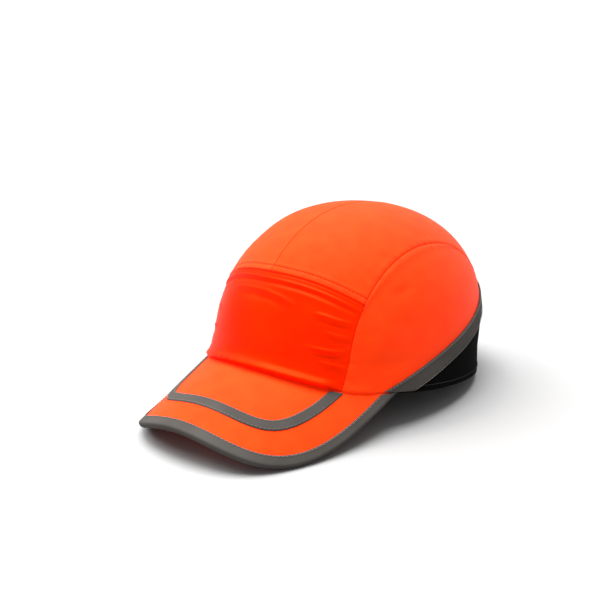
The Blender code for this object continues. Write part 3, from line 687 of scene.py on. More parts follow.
# Twill of fluorescent polyester: matt and glowing, with a faint fuzz of light at its edges.
# Its threads are 0.4 mm apart, too fine to show, so the twill is drawn at 1.3 mm.
POLYESTER = woven("orange_polyester_twill", "FF3604", "FF3D07", 1.3, 0.7, specular=0.2, strength=0.4,
                  depth=0.08, gloss="FF9A66", sheen=0.045, mottle=12.0)
# Satin: long loose threads give a redder, silkier face whose folds catch a soft orange gleam.
# Its threads are 0.3 mm apart and are drawn at 1.1 mm so that they show.
SATIN = woven("orange_satin_weave", "FC2200", "FF2A01", 1.1, 0.40, specular=0.08, strength=0.12,
              gloss="FF7840", metallic=0.3)
# Reflective tape: glass beads on a woven backing. It is an even, dull grey when no lamp shines on it.
# The weave is 0.3 mm and is drawn at 0.8 mm.
TAPE_GREY = woven("grey_reflective_tape", "403D3A", "484542", 0.8, 0.8, specular=0.06, strength=0.3)
# Spun polyester threads: small rounded dashes, a little lighter than the cloth that they hold.
THREAD = plain_finish("grey_polyester_thread", "736D65", 0.8, specular=0.2)
ORANGE_THREAD = plain_finish("orange_polyester_thread", "FF4A10", 0.7)
BLACK_THREAD = plain_finish("black_polyester_thread", "1A1A1B", 0.7)
# Knitted mesh: its open loops, 1.2 mm apart, swallow light; that shade is painted into its colour, so that
# it is the deepest black.
BLACK_KNIT = woven("black_polyester_mesh", "030303", "070606", 1.2, 0.95, specular=0.04, strength=0.8,
                   depth=0.2)
# Narrow-loom webbing: ribs 1.4 mm apart that take a low gleam along their tops.
WEBBING = woven("black_polyester_webbing", "0A0A0B", "121213", 1.4, 0.8, specular=0.2, strength=0.7,
                depth=0.2)
# Terry towelling: loops 1.3 mm apart that stand up, quite matt with a soft outline.
TERRY = woven("black_terry_towelling", "101011", "1A1A1C", 1.3, 1.0, specular=0.1, strength=1.0,
              depth=0.5, sheen=0.1)
# Plain-woven cotton: flat, dull and slightly grey. Its threads, 0.4 mm apart, are drawn at 0.8 mm.
COTTON = woven("black_cotton_tape", "0E0E0F", "161617", 0.8, 0.95, specular=0.2)
# Brushed loop pile: soft tufts 0.9 mm apart without any gloss.
LOOP = woven("black_loop_pile", "0C0C0D", "181819", 0.9, 1.0, specular=0.1, strength=1.0, depth=0.4,
             sheen=0.1)
# Moulded hooks: hard points 1 mm apart, each with its own small glint.
HOOK = woven("black_hook_tape", "0B0B0C", "141415", 1.0, 0.55, specular=0.3, strength=1.0, depth=0.35)
# Injection-moulded polyethylene: smooth and waxy, with broad soft highlights along the ribs.
# The mould's grain is 0.1 mm and is drawn at 0.8 mm.
INSERT_PLASTIC = plain_finish("black_moulded_polyethylene", "18181A", 0.42, grain=0.8, depth=0.03)
# Closed-cell foam: matt charcoal with pinholes. Its cells are 0.3 mm and are drawn at 0.7 mm.
FOAM = plain_finish("black_closed_cell_foam", "232325", 0.95, specular=0.3, grain=0.7, depth=0.12,
                    strength=0.8)
# Woven satin label: clean off-white with a slight shine. Its threads, 0.2 mm apart, are drawn at 0.5 mm.
LABEL = woven("white_satin_label", "DEDEDA", "E8E8E4", 0.5, 0.6)
# Extruded polyethylene board: milky white and half matt.
BRIM_PLASTIC = plain_finish("white_polyethylene_board", "E4E4E0", 0.5)


# ---------------- crown panels

def mirror(p):
    """The same points on the cap's other side."""
    return p * np.array([-1.0, 1.0, 1.0])


def own_edges(p):
    """Distances in mm of a grid's points from its first and last row, then first and last column."""
    down = run(p, 0) / mm
    across = run(p, 1) / mm
    return down, down[-1:] - down, across, across[:, -1:] - across


# Folds of the front panel: compass angles and heights in mm, then width and rise in mm.
FRONT_FOLDS = [
    ([(-22, 56.5), (-14, 58.4), (-6, 59.2), (2, 59), (10, 56.8), (19, 52.5)], 1.6, 1.25),
    ([(-14, 54), (-4, 55.4), (6, 54.5), (15, 50)], 2.2, -0.8),
    ([(27, 49.6), (32, 48.2), (37, 46), (43, 44.6)], 1.2, 1.5),
    ([(28, 45.2), (36, 43), (43, 41.2)], 1.5, -0.8),
    ([(32, 38.4), (37.5, 36.4), (43.5, 34.6)], 1.15, 1.1),
    ([(26, 28.2), (31, 27.2), (37, 26.2), (43.5, 26.8)], 1.2, 1.4),
    ([(28, 24), (36, 22.8), (43, 23)], 1.5, -0.7),
    ([(31, 19.4), (37, 17.8), (43.5, 15.8)], 1.15, 1.1),
    ([(-43, 40), (-37, 38.5), (-30, 38)], 1.4, 0.8),
    ([(-43.5, 24), (-37, 25), (-31, 27)], 1.4, 0.8),
]


# Dimples of the side panel by its front corners and over the ear.
SIDE_FOLDS = [
    ([(58, 62), (64, 66), (70, 69)], 3.0, -0.5),
    ([(56, 45), (62, 46), (70, 44)], 3.5, -0.3),
]


def front_panel():
    """Satin front panel: a stitched-down welt under its top seam and a full roll over the brim."""
    edge = SIDE_SEAM_X - SEAM / 2
    x = mix(-edge, edge, stations(2 * edge, 0.3 * mm, 1.0 * mm, 2 * mm))[None, :]
    t = stations(66 * mm, 0.35 * mm, 0.9 * mm, 8 * mm)[:, None]
    z = mix(hem_height(angle_at(x, 0.0)), front_seam(x) - SEAM, t)
    base = crown_point(angle_at(x, z), z)
    hem, top, left, right = own_edges(base)
    side = np.minimum(left, right)
    out = roll_in(top, 0.7, 0.6) + 0.45 * ease(top / 0.8) * (1 - ease((top - 5.3) / 1.3))
    inward = ease(side / 12)
    out += inward * (0.5 * bump(top - 4.7, 0.8) - 0.8 * bump(top - 7.4, 1.2) + 0.3 * bump(top - 10.5, 1.8))
    reach_right = ease(right / 14)
    reach_left = ease(left / 4) * mix(0.6, 1.0, ease(left / 50))
    full = reach_left * reach_right
    out += roll_in(hem, 2.2, 1.0) + full * 3.1 * bump(hem - 3.4, np.where(hem > 3.4, 3.0, 2.0))
    out += roll_in(side, 0.6, 0.6)
    for route, width, rise in FRONT_FOLDS:
        out += fold(base, route, width, rise)
    out += 0.25 * ripple(base, 42, 3) * ease(np.minimum(top, hem) / 12)
    out += pucker(side, hem, 6.5, 0.14, 5) + pucker(hem, left, 7.5, 0.15, 6) * full
    return panel("front_panel_satin", base, out, SATIN)


def crown_panel(sign, side):
    """Half of the crown's top, from the front seam to the reflective tape."""
    x = mix(SEAM / 2, SIDE_SEAM_X - SEAM / 2, stations(72 * mm, 0.3 * mm, 1.2 * mm))[:, None]
    s = stations(205 * mm, 0.32 * mm, 1.2 * mm, 6 * mm)[None, :]
    sweep = mix(front_sweep(x), rear_sweep(x, 0.5), s)
    base = slice_point(x, sweep)
    centre, outer, front, _ = own_edges(base)
    out = roll_in(front, 0.7, 0.6) + 0.5 * ease(front / 0.8) * (1 - ease((front - 3.4) / 1.2))
    out += -0.55 * bump(front - GROOVE, 0.45) + 0.25 * bump(front - 6.0, 1.2)
    out += roll_in(centre, 0.6, 0.5) + 1.0 * np.exp(-centre / 9) * (1 - ease((front - 25) / 60))
    out += roll_in(outer, 0.7, 0.6) + 0.2 * bump(outer - 3.0, 1.6)
    if sign < 0:
        base = mirror(base)
    out += 0.3 * ripple(base, 60, 11) * ease(np.minimum(centre, outer) / 12)
    out += pucker(outer, front, 8.0, 0.12, 12) + pucker(centre, front, 9.0, 0.08, 13)
    out += pucker(front, centre, 7.0, 0.10, 14)
    return panel(f"crown_panel_{side}_cloth", base, out, POLYESTER)


def side_seam_angle(z, behind):
    """Compass angle at which the side seam's plane meets height z."""
    turn = angle_at(SIDE_SEAM_X + SEAM / 2, z)
    return np.where(behind, 180 - turn, turn)


def side_outline(s, t):
    """Edges of the side panel as (angle, z): the hem and tape, the arc seam, the front and the rear."""
    seam_x = SIDE_SEAM_X + SEAM / 2
    start = float(side_seam_angle(np.array(2 * mm), False))
    back_z = float(solve(lambda z: z > tape_height(side_seam_angle(z, True), 0.5), 30 * mm, 85 * mm))
    back = float(side_seam_angle(np.array(back_z), True))
    front_z = float(hem_height(np.array([start]))[0])
    low_corner = float(front_sweep(np.array([seam_x]))[0])
    high_corner = float(solve(lambda w: slice_point(seam_x, w)[..., 1] > 0, 0.0, 180.0))
    high_corner += SIDE_SEAM_CORNER
    low_angle = mix(start, back, s)
    bottom = (low_angle, np.maximum(hem_height(low_angle), tape_height(low_angle, 0.5)))
    rim = slice_point(seam_x, mix(low_corner, high_corner, s))
    top = (compass(rim), rim[..., 2])
    fore_z = mix(front_z, top[1][0], t)
    aft_z = mix(back_z, top[1][-1], t)
    return bottom, top, (side_seam_angle(fore_z, False), fore_z), (side_seam_angle(aft_z, True), aft_z)


def coons(bottom, top, left, right, s, t):
    """Values filled in between four edges: s runs along bottom and top, t along left and right."""
    s, t = s[None, :], t[:, None]
    ruled = mix(bottom[None, :], top[None, :], t) + mix(left[:, None], right[:, None], s)
    return ruled - mix(mix(bottom[0], bottom[-1], s), mix(top[0], top[-1], s), t)


def side_panel(sign, side):
    """Side panel: all that lies outside the side seam's plane and above the hem and the tape."""
    s = stations(160 * mm, 0.35 * mm, 1.2 * mm, 2 * mm)
    t = stations(62 * mm, 0.3 * mm, 1.0 * mm, 2 * mm)
    edges = side_outline(s, t)
    angle, z = (coons(*(edge[k] for edge in edges), s, t) for k in (0, 1))
    base = crown_point(angle, z)
    hem, arc, fore, aft = own_edges(base)
    loose = 1 - ease((angle - 50) / 7)
    out = roll_in(hem, 1.6, 0.9) + 0.6 * loose * bump(hem - 3.0, 2.0) + roll_in(arc, 0.7, 0.6)
    out += roll_in(fore, 0.6, 0.6) + roll_in(aft, 0.7, 0.8)
    out += 0.35 * bump(arc - 3.4, 2.0) - 0.2 * bump(arc - 9.0, 3.0)
    if sign < 0:
        base = mirror(base)
    inner = np.minimum(np.minimum(hem, arc), np.minimum(fore, aft))
    out += 0.35 * ripple(base, 48, 21) * ease(inner / 14)
    out += pucker(arc, fore, 8.0, 0.16, 22) + pucker(fore, hem, 7.0, 0.12, 23)
    out += pucker(hem, fore, 9.0, 0.12, 24)
    for route, width, rise in SIDE_FOLDS:
        out += fold(base, route, width, rise)
    return panel(f"side_panel_{side}_cloth", base, out, POLYESTER)


def crown_stitch_line(sign):
    """Topstitching in the groove that runs beside the front seam."""
    x = np.linspace(1 * mm, SIDE_SEAM_X - 1 * mm, 200)
    start = front_sweep(x)
    degree = np.linalg.norm(slice_point(x, start + 1) - slice_point(x, start), axis=-1)
    p = slice_point(x, start + GROOVE * mm / degree, -0.3 * mm)
    if sign < 0:
        p = mirror(p)
    return p, crown_normal(p)


def arch_z(x):
    """Height of the rear opening's rim at x, 0 outside it."""
    return OPENING_HEIGHT * np.sqrt(np.clip(1 - (x / OPENING_HALF_WIDTH) ** 2, 0, 1))


def rear_panel():
    """Black lower back panel with the arched opening cut out, whose raw edge the binding covers."""
    angle = row(REAR_PANEL_START, 360 - REAR_PANEL_START, 330)
    t = stations(66 * mm, 0.4 * mm, 1.3 * mm)[:, None]
    base = crown_point(angle, mix(0.0, np.maximum(tape_height(angle, 0.5), 0.2 * mm), t))
    hem, top, _, _ = own_edges(base)
    out = roll_in(top, 0.5, 0.9) - 0.25 + 0.15 * bump(hem - 3, 3) + 0.2 * ripple(base, 45, 31)
    centre = (base[1:, 1:] + base[:-1, :-1]) / 2
    half = OPENING_HALF_WIDTH + OPENING_ALLOWANCE
    inside = (np.abs(centre[..., 0]) < half) & (centre[..., 1] > 0)
    inside &= centre[..., 2] < arch_z(centre[..., 0] * OPENING_HALF_WIDTH / half) + OPENING_ALLOWANCE
    return cloth("rear_panel_mesh", raised(base, out * mm), CLOTH, BLACK_KNIT, keep=~inside,
                 outward=REARWARD)


# Creases of the rear tape: compass angles, mirrored on the other side.
TAPE_CREASES = (101, 106.5, 111, 114, 133, 151, 169)


def rear_tape():
    """Reflective tape: each line along it starts at the hem. It creases slightly round the back."""
    t = mix(-0.14, 1.0, stations(TAPE_WIDTH, 0.35 * mm, 0.9 * mm))[:, None]
    begin = mix(TAPE_START_LOWER, TAPE_START_UPPER, t) + 1.0
    angle = mix(begin, 360 - begin, row(0, 1, 460))
    base = crown_point(angle, np.maximum(tape_height(angle, t), -0.4 * mm))
    low, high, along, _ = own_edges(base)
    edge = np.minimum(low, high)
    out = TAPE_LIFT / mm - 0.45 * bump(edge, 0.5) + pucker(edge, along, 7.0, 0.10, 41)
    out += 0.08 * ripple(base, 25, 42)
    for crease in TAPE_CREASES:
        for centre in (crease, 360 - crease):
            out += 0.4 * bump(angle - centre - 3.5 * (t - 0.5), 0.7)
    return cloth("rear_tape_cloth", raised(base, out * mm), TAPE_THICK, TAPE_GREY,
                 outward=REARWARD)


def tape_line(across):
    """Stitching along the reflective tape."""
    begin = mix(TAPE_START_LOWER, TAPE_START_UPPER, across) + 2.0
    angle = np.linspace(begin, 360 - begin, 400)
    p = crown_point(angle, np.maximum(tape_height(angle, across), 0.3 * mm), 1.15 * mm)
    return p, crown_normal(p)


# ---------------- brim

def brim_cover(name, out, turn_up=None):
    """Cloth on one face of the brim, from behind the board's root to the binding's fold.

    turn_up is how high the cloth reaches at the root, where it folds up round the board.
    """
    root_depth = BRIM_TUCK + 0.4 * mm
    s = stations(70 * mm, 0.6 * mm, 1.3 * mm)[:, None]
    u = row(-1, 1, 190)
    edge = brim_edge(BRIM_EDGE_TURN * u, BRIM_CLOTH_INSET)
    root_angle = BRIM_ROOT_TURN * u
    root = crown_point(root_angle, hem_height(np.abs(root_angle), -root_depth), -root_depth)
    p, q = brim_flat(root[..., 0], root[..., 1])
    flat_p = mix(p, edge[..., 0], s)
    flat_q = mix(q, edge[..., 1], s)
    grid = brim_point(flat_p, flat_q, 0.0)
    lift = out + 0.08 * mm * ripple(grid, 30, 51)
    grid = brim_point(flat_p, flat_q, lift)
    if turn_up is not None:
        grid = np.concatenate([brim_point(flat_p[:1], flat_q[:1], turn_up), grid])
    return cloth(name, grid, BRIM_CLOTH, POLYESTER, outward=BRIM_UP)


def clear_inset(t, wanted, out):
    """The widest inset up to the wanted one at which the brim is still clear of the crown."""
    return solve(lambda inset: ~outside_crown(on_brim(t, inset, out), 0.6 * mm), 0 * wanted, wanted)


def binding_profile(wide):
    """Rounded section of the folded binding as (inset, out) pairs, for an array of widths."""
    top = 0.75 * mm
    low = -BRIM_STACK - 1.1 * mm
    middle = (top + low) / 2
    half = (top - low) / 2
    hollow = 0 * wide + 1.4 * mm
    ring = []
    for a in np.radians(np.linspace(90, 270, 15)):
        ring.append((0 * wide + half * 0.75 * (1 - abs(math.cos(a)) ** 0.8), middle + half * math.sin(a)))
    ring += [(mix(1.7 * mm, wide, f), low) for f in (0.35, 0.7)]
    for inset, up in ((wide - 0.3 * mm, 0.12), (wide, 0.5), (wide - 0.6 * mm, 0.7), (hollow, 0.8)):
        ring.append((inset, low + up * mm))
    for inset, down in ((hollow, 0.5), (wide - 0.6 * mm, 0.45), (wide, 0.32), (wide - 0.3 * mm, 0.12)):
        ring.append((inset, top - down * mm))
    return ring + [(mix(1.7 * mm, wide, f), top) for f in (0.85, 0.7, 0.5, 0.3, 0.12)]


def binding_width(t):
    """Width of the binding's face: narrower at the brim's ends, and clear of the crown."""
    wanted = mix(BINDING_FRONT, BINDING_SIDE, np.sin(np.radians(t)) ** 2)
    return clear_inset(t, wanted, 1.0 * mm)


def edge_binding():
    """Reflective binding folded over the brim's edge. Its ends run on until the hem covers them."""
    overrun = np.linspace(BINDING_OVERRUN, 0, 14)
    t = np.linspace(-BRIM_EDGE_TURN, BRIM_EDGE_TURN, 260)
    beyond = np.concatenate([overrun, 0 * t, overrun[::-1]])
    t = np.concatenate([overrun * 0 - BRIM_EDGE_TURN, t, overrun * 0 + BRIM_EDGE_TURN])
    wide = binding_width(t)
    ring = []
    for inset, out in binding_profile(wide):
        flat = brim_edge(t, inset)
        p = brim_point(flat[..., 0], flat[..., 1] - beyond, out)
        under_hem = hem_height(compass(p)) - 0.15 * mm
        p[..., 2] = np.where(beyond > 0, np.minimum(p[..., 2], under_hem), p[..., 2])
        ring.append(p)
    keep = np.concatenate([[True], np.abs(np.diff(t)) + np.abs(np.diff(beyond)) > 0])
    return band("brim_binding_tape", np.stack(ring, axis=1)[keep], TAPE_GREY)


def stripe_place(t, s, out):
    """Points on the stripe: s runs from 0 at its outer edge to 1 at its inner edge."""
    side = mix(STRIPE_OUTER[0], STRIPE_INNER[0], s)
    front = mix(STRIPE_OUTER[1], STRIPE_INNER[1], s)
    return on_brim(t, mix(front, side, np.sin(np.radians(t)) ** 2), out)


def stripe_grid(s, out, count=240):
    """Lines along the stripe, each of which ends where it meets the crown."""
    def inside(t):
        return ~outside_crown(stripe_place(t, s, out), 0.3 * mm)
    end = solve(inside, 20 + 0 * s, 85 + 0 * s)
    return stripe_place(end * row(-1, 1, count), s, out)


def brim_stripe():
    """Reflective stripe across the brim, whose ends go in under the crown's hem."""
    s = stations(6.2 * mm, 0.25 * mm, 0.9 * mm)[:, None]
    round_off = 0.35 * bump(np.minimum(s, 1 - s) * 6.2, 0.35)
    p = stripe_grid(s, STRIPE_HEIGHT - round_off * mm)
    return cloth("brim_stripe_tape", p, STRIPE_THICK, TAPE_GREY, outward=BRIM_UP)


def brim_stitch_lines():
    """Stitching of the binding and of both edges of the stripe."""
    lines = []
    t = np.linspace(-BRIM_EDGE_TURN + 3, BRIM_EDGE_TURN - 3, 400)
    wide = binding_width(t)
    place = on_brim(t, wide - 1.0 * mm, 0.8 * mm)
    above = on_brim(t, wide - 1.0 * mm, 1.8 * mm)
    lines.append((place, (above - place) / mm))
    for s in (0.13, 0.87):
        place = stripe_grid(np.array([[s]]), 0.75 * mm, 400)[0]
        above = stripe_grid(np.array([[s]]), 1.75 * mm, 400)[0]
        up = above - place
        lines.append((place[6:-6], (up / np.linalg.norm(up, axis=-1, keepdims=True))[6:-6]))
    return lines


# ---------------- inside the crown

def soft_slab(name, grid_at, depth, thick, finish, round_over):
    """Closed slab between depth and depth + thick, with its edges rounded over."""
    middle = grid_at(-depth - thick / 2)
    rows = run(middle, 0)
    columns = run(middle, 1)
    edge = np.minimum(np.minimum(rows, rows[-1:] - rows), np.minimum(columns, columns[:, -1:] - columns))
    full = np.sqrt(np.clip(1 - (1 - np.clip(edge / round_over, 0, 1)) ** 2, 0, 1))
    half = thick / 2 * np.maximum(full, 0.06)
    top = raised(grid_at(0.0), -depth - thick / 2 + half)
    low = raised(grid_at(0.0), -depth - thick / 2 - half)
    n_rows, n_columns = middle.shape[:2]
    faces = grid_faces(n_rows, n_columns).reshape(-1, 4)
    both = np.concatenate([faces, faces[:, ::-1] + n_rows * n_columns])
    ring = [(0, j) for j in range(n_columns)] + [(i, n_columns - 1) for i in range(1, n_rows)]
    ring += [(n_rows - 1, j) for j in range(n_columns - 2, -1, -1)]
    ring += [(i, 0) for i in range(n_rows - 2, 0, -1)]
    ids = np.array([i * n_columns + j for i, j in ring])
    nxt = np.roll(ids, -1)
    rim = np.stack([ids, ids + n_rows * n_columns, nxt + n_rows * n_columns, nxt], -1)
    cut_size(middle)
    p = np.concatenate([top.reshape(-1, 3), low.reshape(-1, 3)])
    uv = np.stack([columns, rows], -1).reshape(-1, 2)
    mesh = mesh_of(name, p, np.concatenate([both, rim]), np.concatenate([uv, uv]))
    made = add_object(name, mesh, finish)
    close_ends(made)
    return made


def sweatband():
    """Towelling band round the inside of the hem, open at the rear."""
    angles = row(-BAND_END, BAND_END, 300)
    t = column(0, 1, 28)
    low = hem_height(np.abs(angles), -LINING_DEPTH) + 0.3 * mm

    def grid_at(out):
        return crown_point(angles, mix(low, BAND_HEIGHT, t), out)
    return soft_slab("sweatband_towelling", grid_at, LINING_DEPTH, BAND_THICK, TERRY, 1.2 * mm)


def sweatband_line(z):
    """Stitching round the inner face of the sweatband."""
    angles = np.linspace(-BAND_END + 2, BAND_END - 2, 400)
    p = crown_point(angles, np.maximum(hem_height(np.abs(angles), -LINING_DEPTH) + 3 * mm, z),
                    -LINING_DEPTH - BAND_THICK)
    return p, -crown_normal(p)


def seam_tape(name, middle):
    """Cotton tape over the inside of a lengthwise seam."""
    x = column(middle - SEAM_TAPE_WIDTH / 2, middle + SEAM_TAPE_WIDTH / 2, 14)
    side = np.abs(x)
    start = front_sweep(side)
    if middle:
        start = solve(lambda s: slice_point(x, s)[..., 2] > BAND_HEIGHT + 0.3 * mm, 0 * x, 90 + 0 * x)
    sweep = mix(start, rear_sweep(side, 0.5), row(0, 1, 120))

    def grid_at(out):
        return slice_point(x, sweep, out)
    return soft_slab(name, grid_at, LINING_DEPTH, SEAM_TAPE, COTTON, 0.5 * mm)


def seam_tape_lines(middle):
    """Both rows of stitches of a seam tape."""
    lines = []
    for beside in (-4.6 * mm, 4.6 * mm):
        x = np.full(300, middle + beside)
        start = 66.0 if middle else float(front_sweep(np.array([abs(beside)]))[0]) + 2
        end = float(rear_sweep(np.array([abs(middle + beside)]), 0.5)[0]) - 3
        sweep = np.linspace(start, end, 300)
        p = slice_point(x, sweep, -LINING_DEPTH - SEAM_TAPE)
        lines.append((p, -crown_normal(p)))
    return lines


def front_layer(name, half_width, cells, low, high):
    """Cotton inside the front panel. low and high give the heights of its edges at x."""
    rows, columns = cells
    x = row(-half_width, half_width, columns)
    z = mix(low(x), high(x), column(0, 1, rows))

    def grid_at(out):
        return crown_point(angle_at(x, z), z, out)
    return soft_slab(name, grid_at, LINING_DEPTH, SEAM_TAPE, COTTON, 0.5 * mm)


def front_backing():
    """Stiff lining behind the front panel, above the sweatband."""
    return front_layer("front_panel_lining", BACKING_HALF_WIDTH, (32, 90),
                       lambda x: BAND_HEIGHT + 2 * mm, lambda x: front_seam(x) - 5 * mm)


def front_seam_binding():
    """Cotton tape over the inside of the front panel's top seam."""
    return front_layer("front_seam_cotton", SIDE_SEAM_X - 5 * mm, (12, 110),
                       lambda x: front_seam(x) - 4.5 * mm, lambda x: front_seam(x) + 5.5 * mm)


def care_label():
    """Plain label without print, sewn along its upper edge, with its lower corners lifting a little."""
    u = row(-1, 1, 30)
    t = column(0, 1, 30)

    def grid_at(out):
        z = mix(LABEL_LOW, LABEL_HIGH, t) + 0 * u
        lift = LABEL_LIFT * (1 - t) ** 2 * (0.4 + 0.6 * u * u)
        return crown_point(LABEL_ANGLE + LABEL_HALF_ANGLE * u, z, out - lift)
    return soft_slab("care_label_satin", grid_at, LABEL_DEPTH, LABEL_THICK, LABEL, 0.4 * mm)


# ---------------- insert

def insert_rim(angle):
    """Height of the insert's rim: low all round, with a notch over the rear opening."""
    turn = np.minimum(angle, 360 - angle)
    base = mix(INSERT_RIM_FRONT, INSERT_RIM_SIDE, ease(turn / 70))
    return mix(base, INSERT_RIM_REAR, ease((turn - INSERT_NOTCH_ANGLE) / INSERT_NOTCH_BLEND))


def insert_surface(climb, angle, out, drop=0.0):
    """Points on the insert: climb runs from 0 at the rim to 1 at the top, drop goes below the rim."""
    rise = ((insert_rim(angle) - SKIRT_HEIGHT) / DOME_HEIGHT) ** (1 / DOME_POWER)
    lift = np.sin(mix(np.arcsin(rise), np.pi / 2, climb)) ** DOME_POWER
    return crown_point(angle, SKIRT_HEIGHT + DOME_HEIGHT * lift - drop, out)


def insert_wall():
    """Moulded dome of the insert with a rounded bead along its rim."""
    angle = np.linspace(0, 360, 180, endpoint=False)
    climbs = np.concatenate([[0.0, 0.008, 0.016, 0.026, 0.04], np.linspace(0.06, 0.985, 42)])
    rows = []
    for climb in climbs[::-1]:
        bead = INSERT_BEAD * bump(climb, 0.022)
        rows.append(insert_surface(climb, angle, bead - INSERT_DEPTH))
    middle = INSERT_DEPTH + INSERT_WALL / 2 - 0.1 * mm
    for a in np.radians(np.linspace(18, 162, 9)):
        rows.append(insert_surface(0.0, angle, 1.5 * mm * math.cos(a) - middle, 1.3 * mm * math.sin(a)))
    for climb in climbs:
        bead = 0.3 * mm * bump(climb, 0.022)
        rows.append(insert_surface(climb, angle, -bead - INSERT_DEPTH - INSERT_WALL))
    p = np.stack(rows)
    faces = grid_faces(*p.shape[:2], closed=True)
    made = add_object("insert_shell_moulding", mesh_of("insert_shell_moulding", p, faces), INSERT_PLASTIC)
    close_ends(made)
    return made


def rail(x, start, end, half, profile):
    """Sections of a bar with rounded ends that follows the crown lengthwise at x.

    The profile is a ring of (share of the half width, depth, depth at the very end).
    """
    sweep = mix(start, end, (1 - np.cos(np.pi * np.linspace(0, 1, 40))) / 2)
    way = run(slice_point(np.full(40, x), sweep)[None], 1)[0]
    gap = np.minimum(way, way[-1] - way)
    share = np.sqrt(np.clip(1 - (1 - np.minimum(gap / half, 1)) ** 2, 0.002, 1))
    ring = [slice_point(x + half * side * share, sweep, -mix(end_depth, depth, share))
            for side, depth, end_depth in profile]
    return np.stack(ring, axis=1)


def gather(made, parts):
    """Joins the parts into one object."""
    bm = bmesh.new()
    for piece in [made, *parts]:
        bm.from_mesh(piece.data)
    bm.to_mesh(made.data)
    bm.free()
    for piece in parts:
        bpy.data.objects.remove(piece)
    return made


def cut_away(made, tool):
    """Cuts the tool's volume out of a piece."""
    cutter = made.modifiers.new("cut", "BOOLEAN")
    cutter.operation = "DIFFERENCE"
    cutter.solver = "EXACT"
    cutter.object = tool
    bpy.context.view_layer.update()
    shape = bpy.data.meshes.new_from_object(made.evaluated_get(bpy.context.evaluated_depsgraph_get()))
    made.modifiers.clear()
    made.data = shape
    bpy.data.objects.remove(tool)
    return made


def insert_shell():
    """The insert: a dome with rows of slots between four rounded ribs."""
    shell = insert_wall()
    slots = []
    section = [(side, depth * mm, depth * mm) for side, depth in ((-1, 9), (1, 9), (1, 1), (-1, 1))]
    for x in SLOT_ROWS:
        for start, end in SLOT_ARCS[1:3] if abs(x) == max(SLOT_ROWS) else SLOT_ARCS:
            slot = rail(x * mm, start, end, SLOT_HALF_WIDTH, section)
            slots.append(band("insert_slot_tool", slot, INSERT_PLASTIC))
    shell = cut_away(shell, gather(slots[0], slots[1:]))
    crest = [(side, mix(RIB_TOP, RIB_BASE, low), RIB_BASE)
             for side, low in ((-1, 1.0), (1, 1.0), (0.93, 0.45), (0.86, 0.18), (0.7, 0.04), (0.4, 0.0),
                               (-0.4, 0.0), (-0.7, 0.04), (-0.86, 0.18), (-0.93, 0.45))]
    ribs = []
    for x in RIB_ROWS:
        place = np.array(x * mm)
        start = float(solve(lambda s: slice_point(place, s)[..., 2] > RIB_START_HEIGHT, 0.0, 90.0))
        end = float(solve(lambda s: slice_point(place, s)[..., 2] < RIB_END_HEIGHT, 90.0, 180.0))
        ribs.append(band("insert_rib", rail(x * mm, start, end, RIB_HALF_WIDTH, crest), INSERT_PLASTIC))
    shell = gather(shell, ribs)
    shell.data.shade_smooth()
    shell.data.set_sharp_from_angle(angle=math.radians(50))
    return shell


# Pads on the insert's wall: solid, lower and upper edge in mm, half its compass angle, middle, side.
WALL_PADS = (("foam_pad_front", 30, 62, 30, 0, 1), ("foam_pad_rear", 60, 84, 26, 180, 1),
             ("foam_pad_left", 33, 60, 22, 92, 1), ("foam_pad_right", 33, 60, 22, 92, -1))


def pad(name, low, high, half_angle, middle, sign):
    """Foam pad on the wall of the insert, its corners rounded."""
    def grid_at(out):
        t = column(-1, 1, 30)
        u = row(-1, 1, 48)
        squeeze = 1 - 0.10 * np.abs(t) ** 5
        z = mix(low, high, (1 + t * (1 - 0.06 * np.abs(u) ** 6)) / 2) * mm
        p = crown_point(middle + half_angle * u * squeeze, z, out)
        return mirror(p) if sign < 0 else p
    return soft_slab(name, grid_at, PAD_DEPTH, PAD_THICK, FOAM, PAD_ROUND)


def crown_pad():
    """Round-sided foam pad under the top of the insert."""
    def grid_at(out):
        x = column(-CROWN_PAD_HALF_WIDTH, CROWN_PAD_HALF_WIDTH, 44) * mm
        back = CROWN_PAD_HALF_SWEEP * np.sqrt(1 - (x / (CROWN_PAD_CURVE * mm)) ** 2)
        return slice_point(x, 90 + back * row(-1, 1, 50), out)
    return soft_slab("foam_pad_crown_block", grid_at, PAD_DEPTH, PAD_THICK, FOAM, PAD_ROUND)


# ---------------- rear opening and strap

def opening_point(turn, grow, out):
    """Points on the rim of the rear opening: turn runs from 0 at the wearer's left foot to 180."""
    x = (OPENING_HALF_WIDTH + grow) * np.cos(np.radians(turn))
    z = np.maximum((OPENING_HEIGHT + grow) * np.sin(np.radians(turn)), 0.4 * mm)
    return crown_point(180 - angle_at(x, z), z, out)


# Section of the opening's bias binding, as mm out from the opening's edge and mm out from the crown.
OPENING_PROFILE = [(6.0, 0.6), (5.7, 0.88), (4.8, 0.95), (2.6, 1.0), (0.6, 0.98), (-0.5, 0.7), (-1.0, 0.15),
                   (-1.1, -0.55), (-1.0, -1.25), (-0.5, -1.8), (0.6, -2.05), (2.6, -2.1), (4.8, -2.05),
                   (5.7, -2.0), (6.0, -1.8), (5.6, -1.6), (2.6, -1.62), (0.4, -1.55), (-0.4, -1.1),
                   (-0.5, -0.55), (-0.4, 0.0), (0.4, 0.45), (2.6, 0.52), (5.6, 0.5)]


def opening_binding():
    """Bias binding folded over the rim of the rear opening."""
    turn = np.linspace(0, 180, 120)
    ring = [opening_point(turn, grow * mm, out * mm) for grow, out in OPENING_PROFILE]
    return band("rear_opening_bias_binding", np.stack(ring, axis=1), WEBBING)


def rear_hem_line(sign):
    """Hem stitching of the black back panel, up to the opening."""
    angle = np.linspace(74, 148, 200)
    p = crown_point(angle if sign > 0 else 360 - angle, 3.5 * mm, 0.1 * mm)
    return p, crown_normal(p)


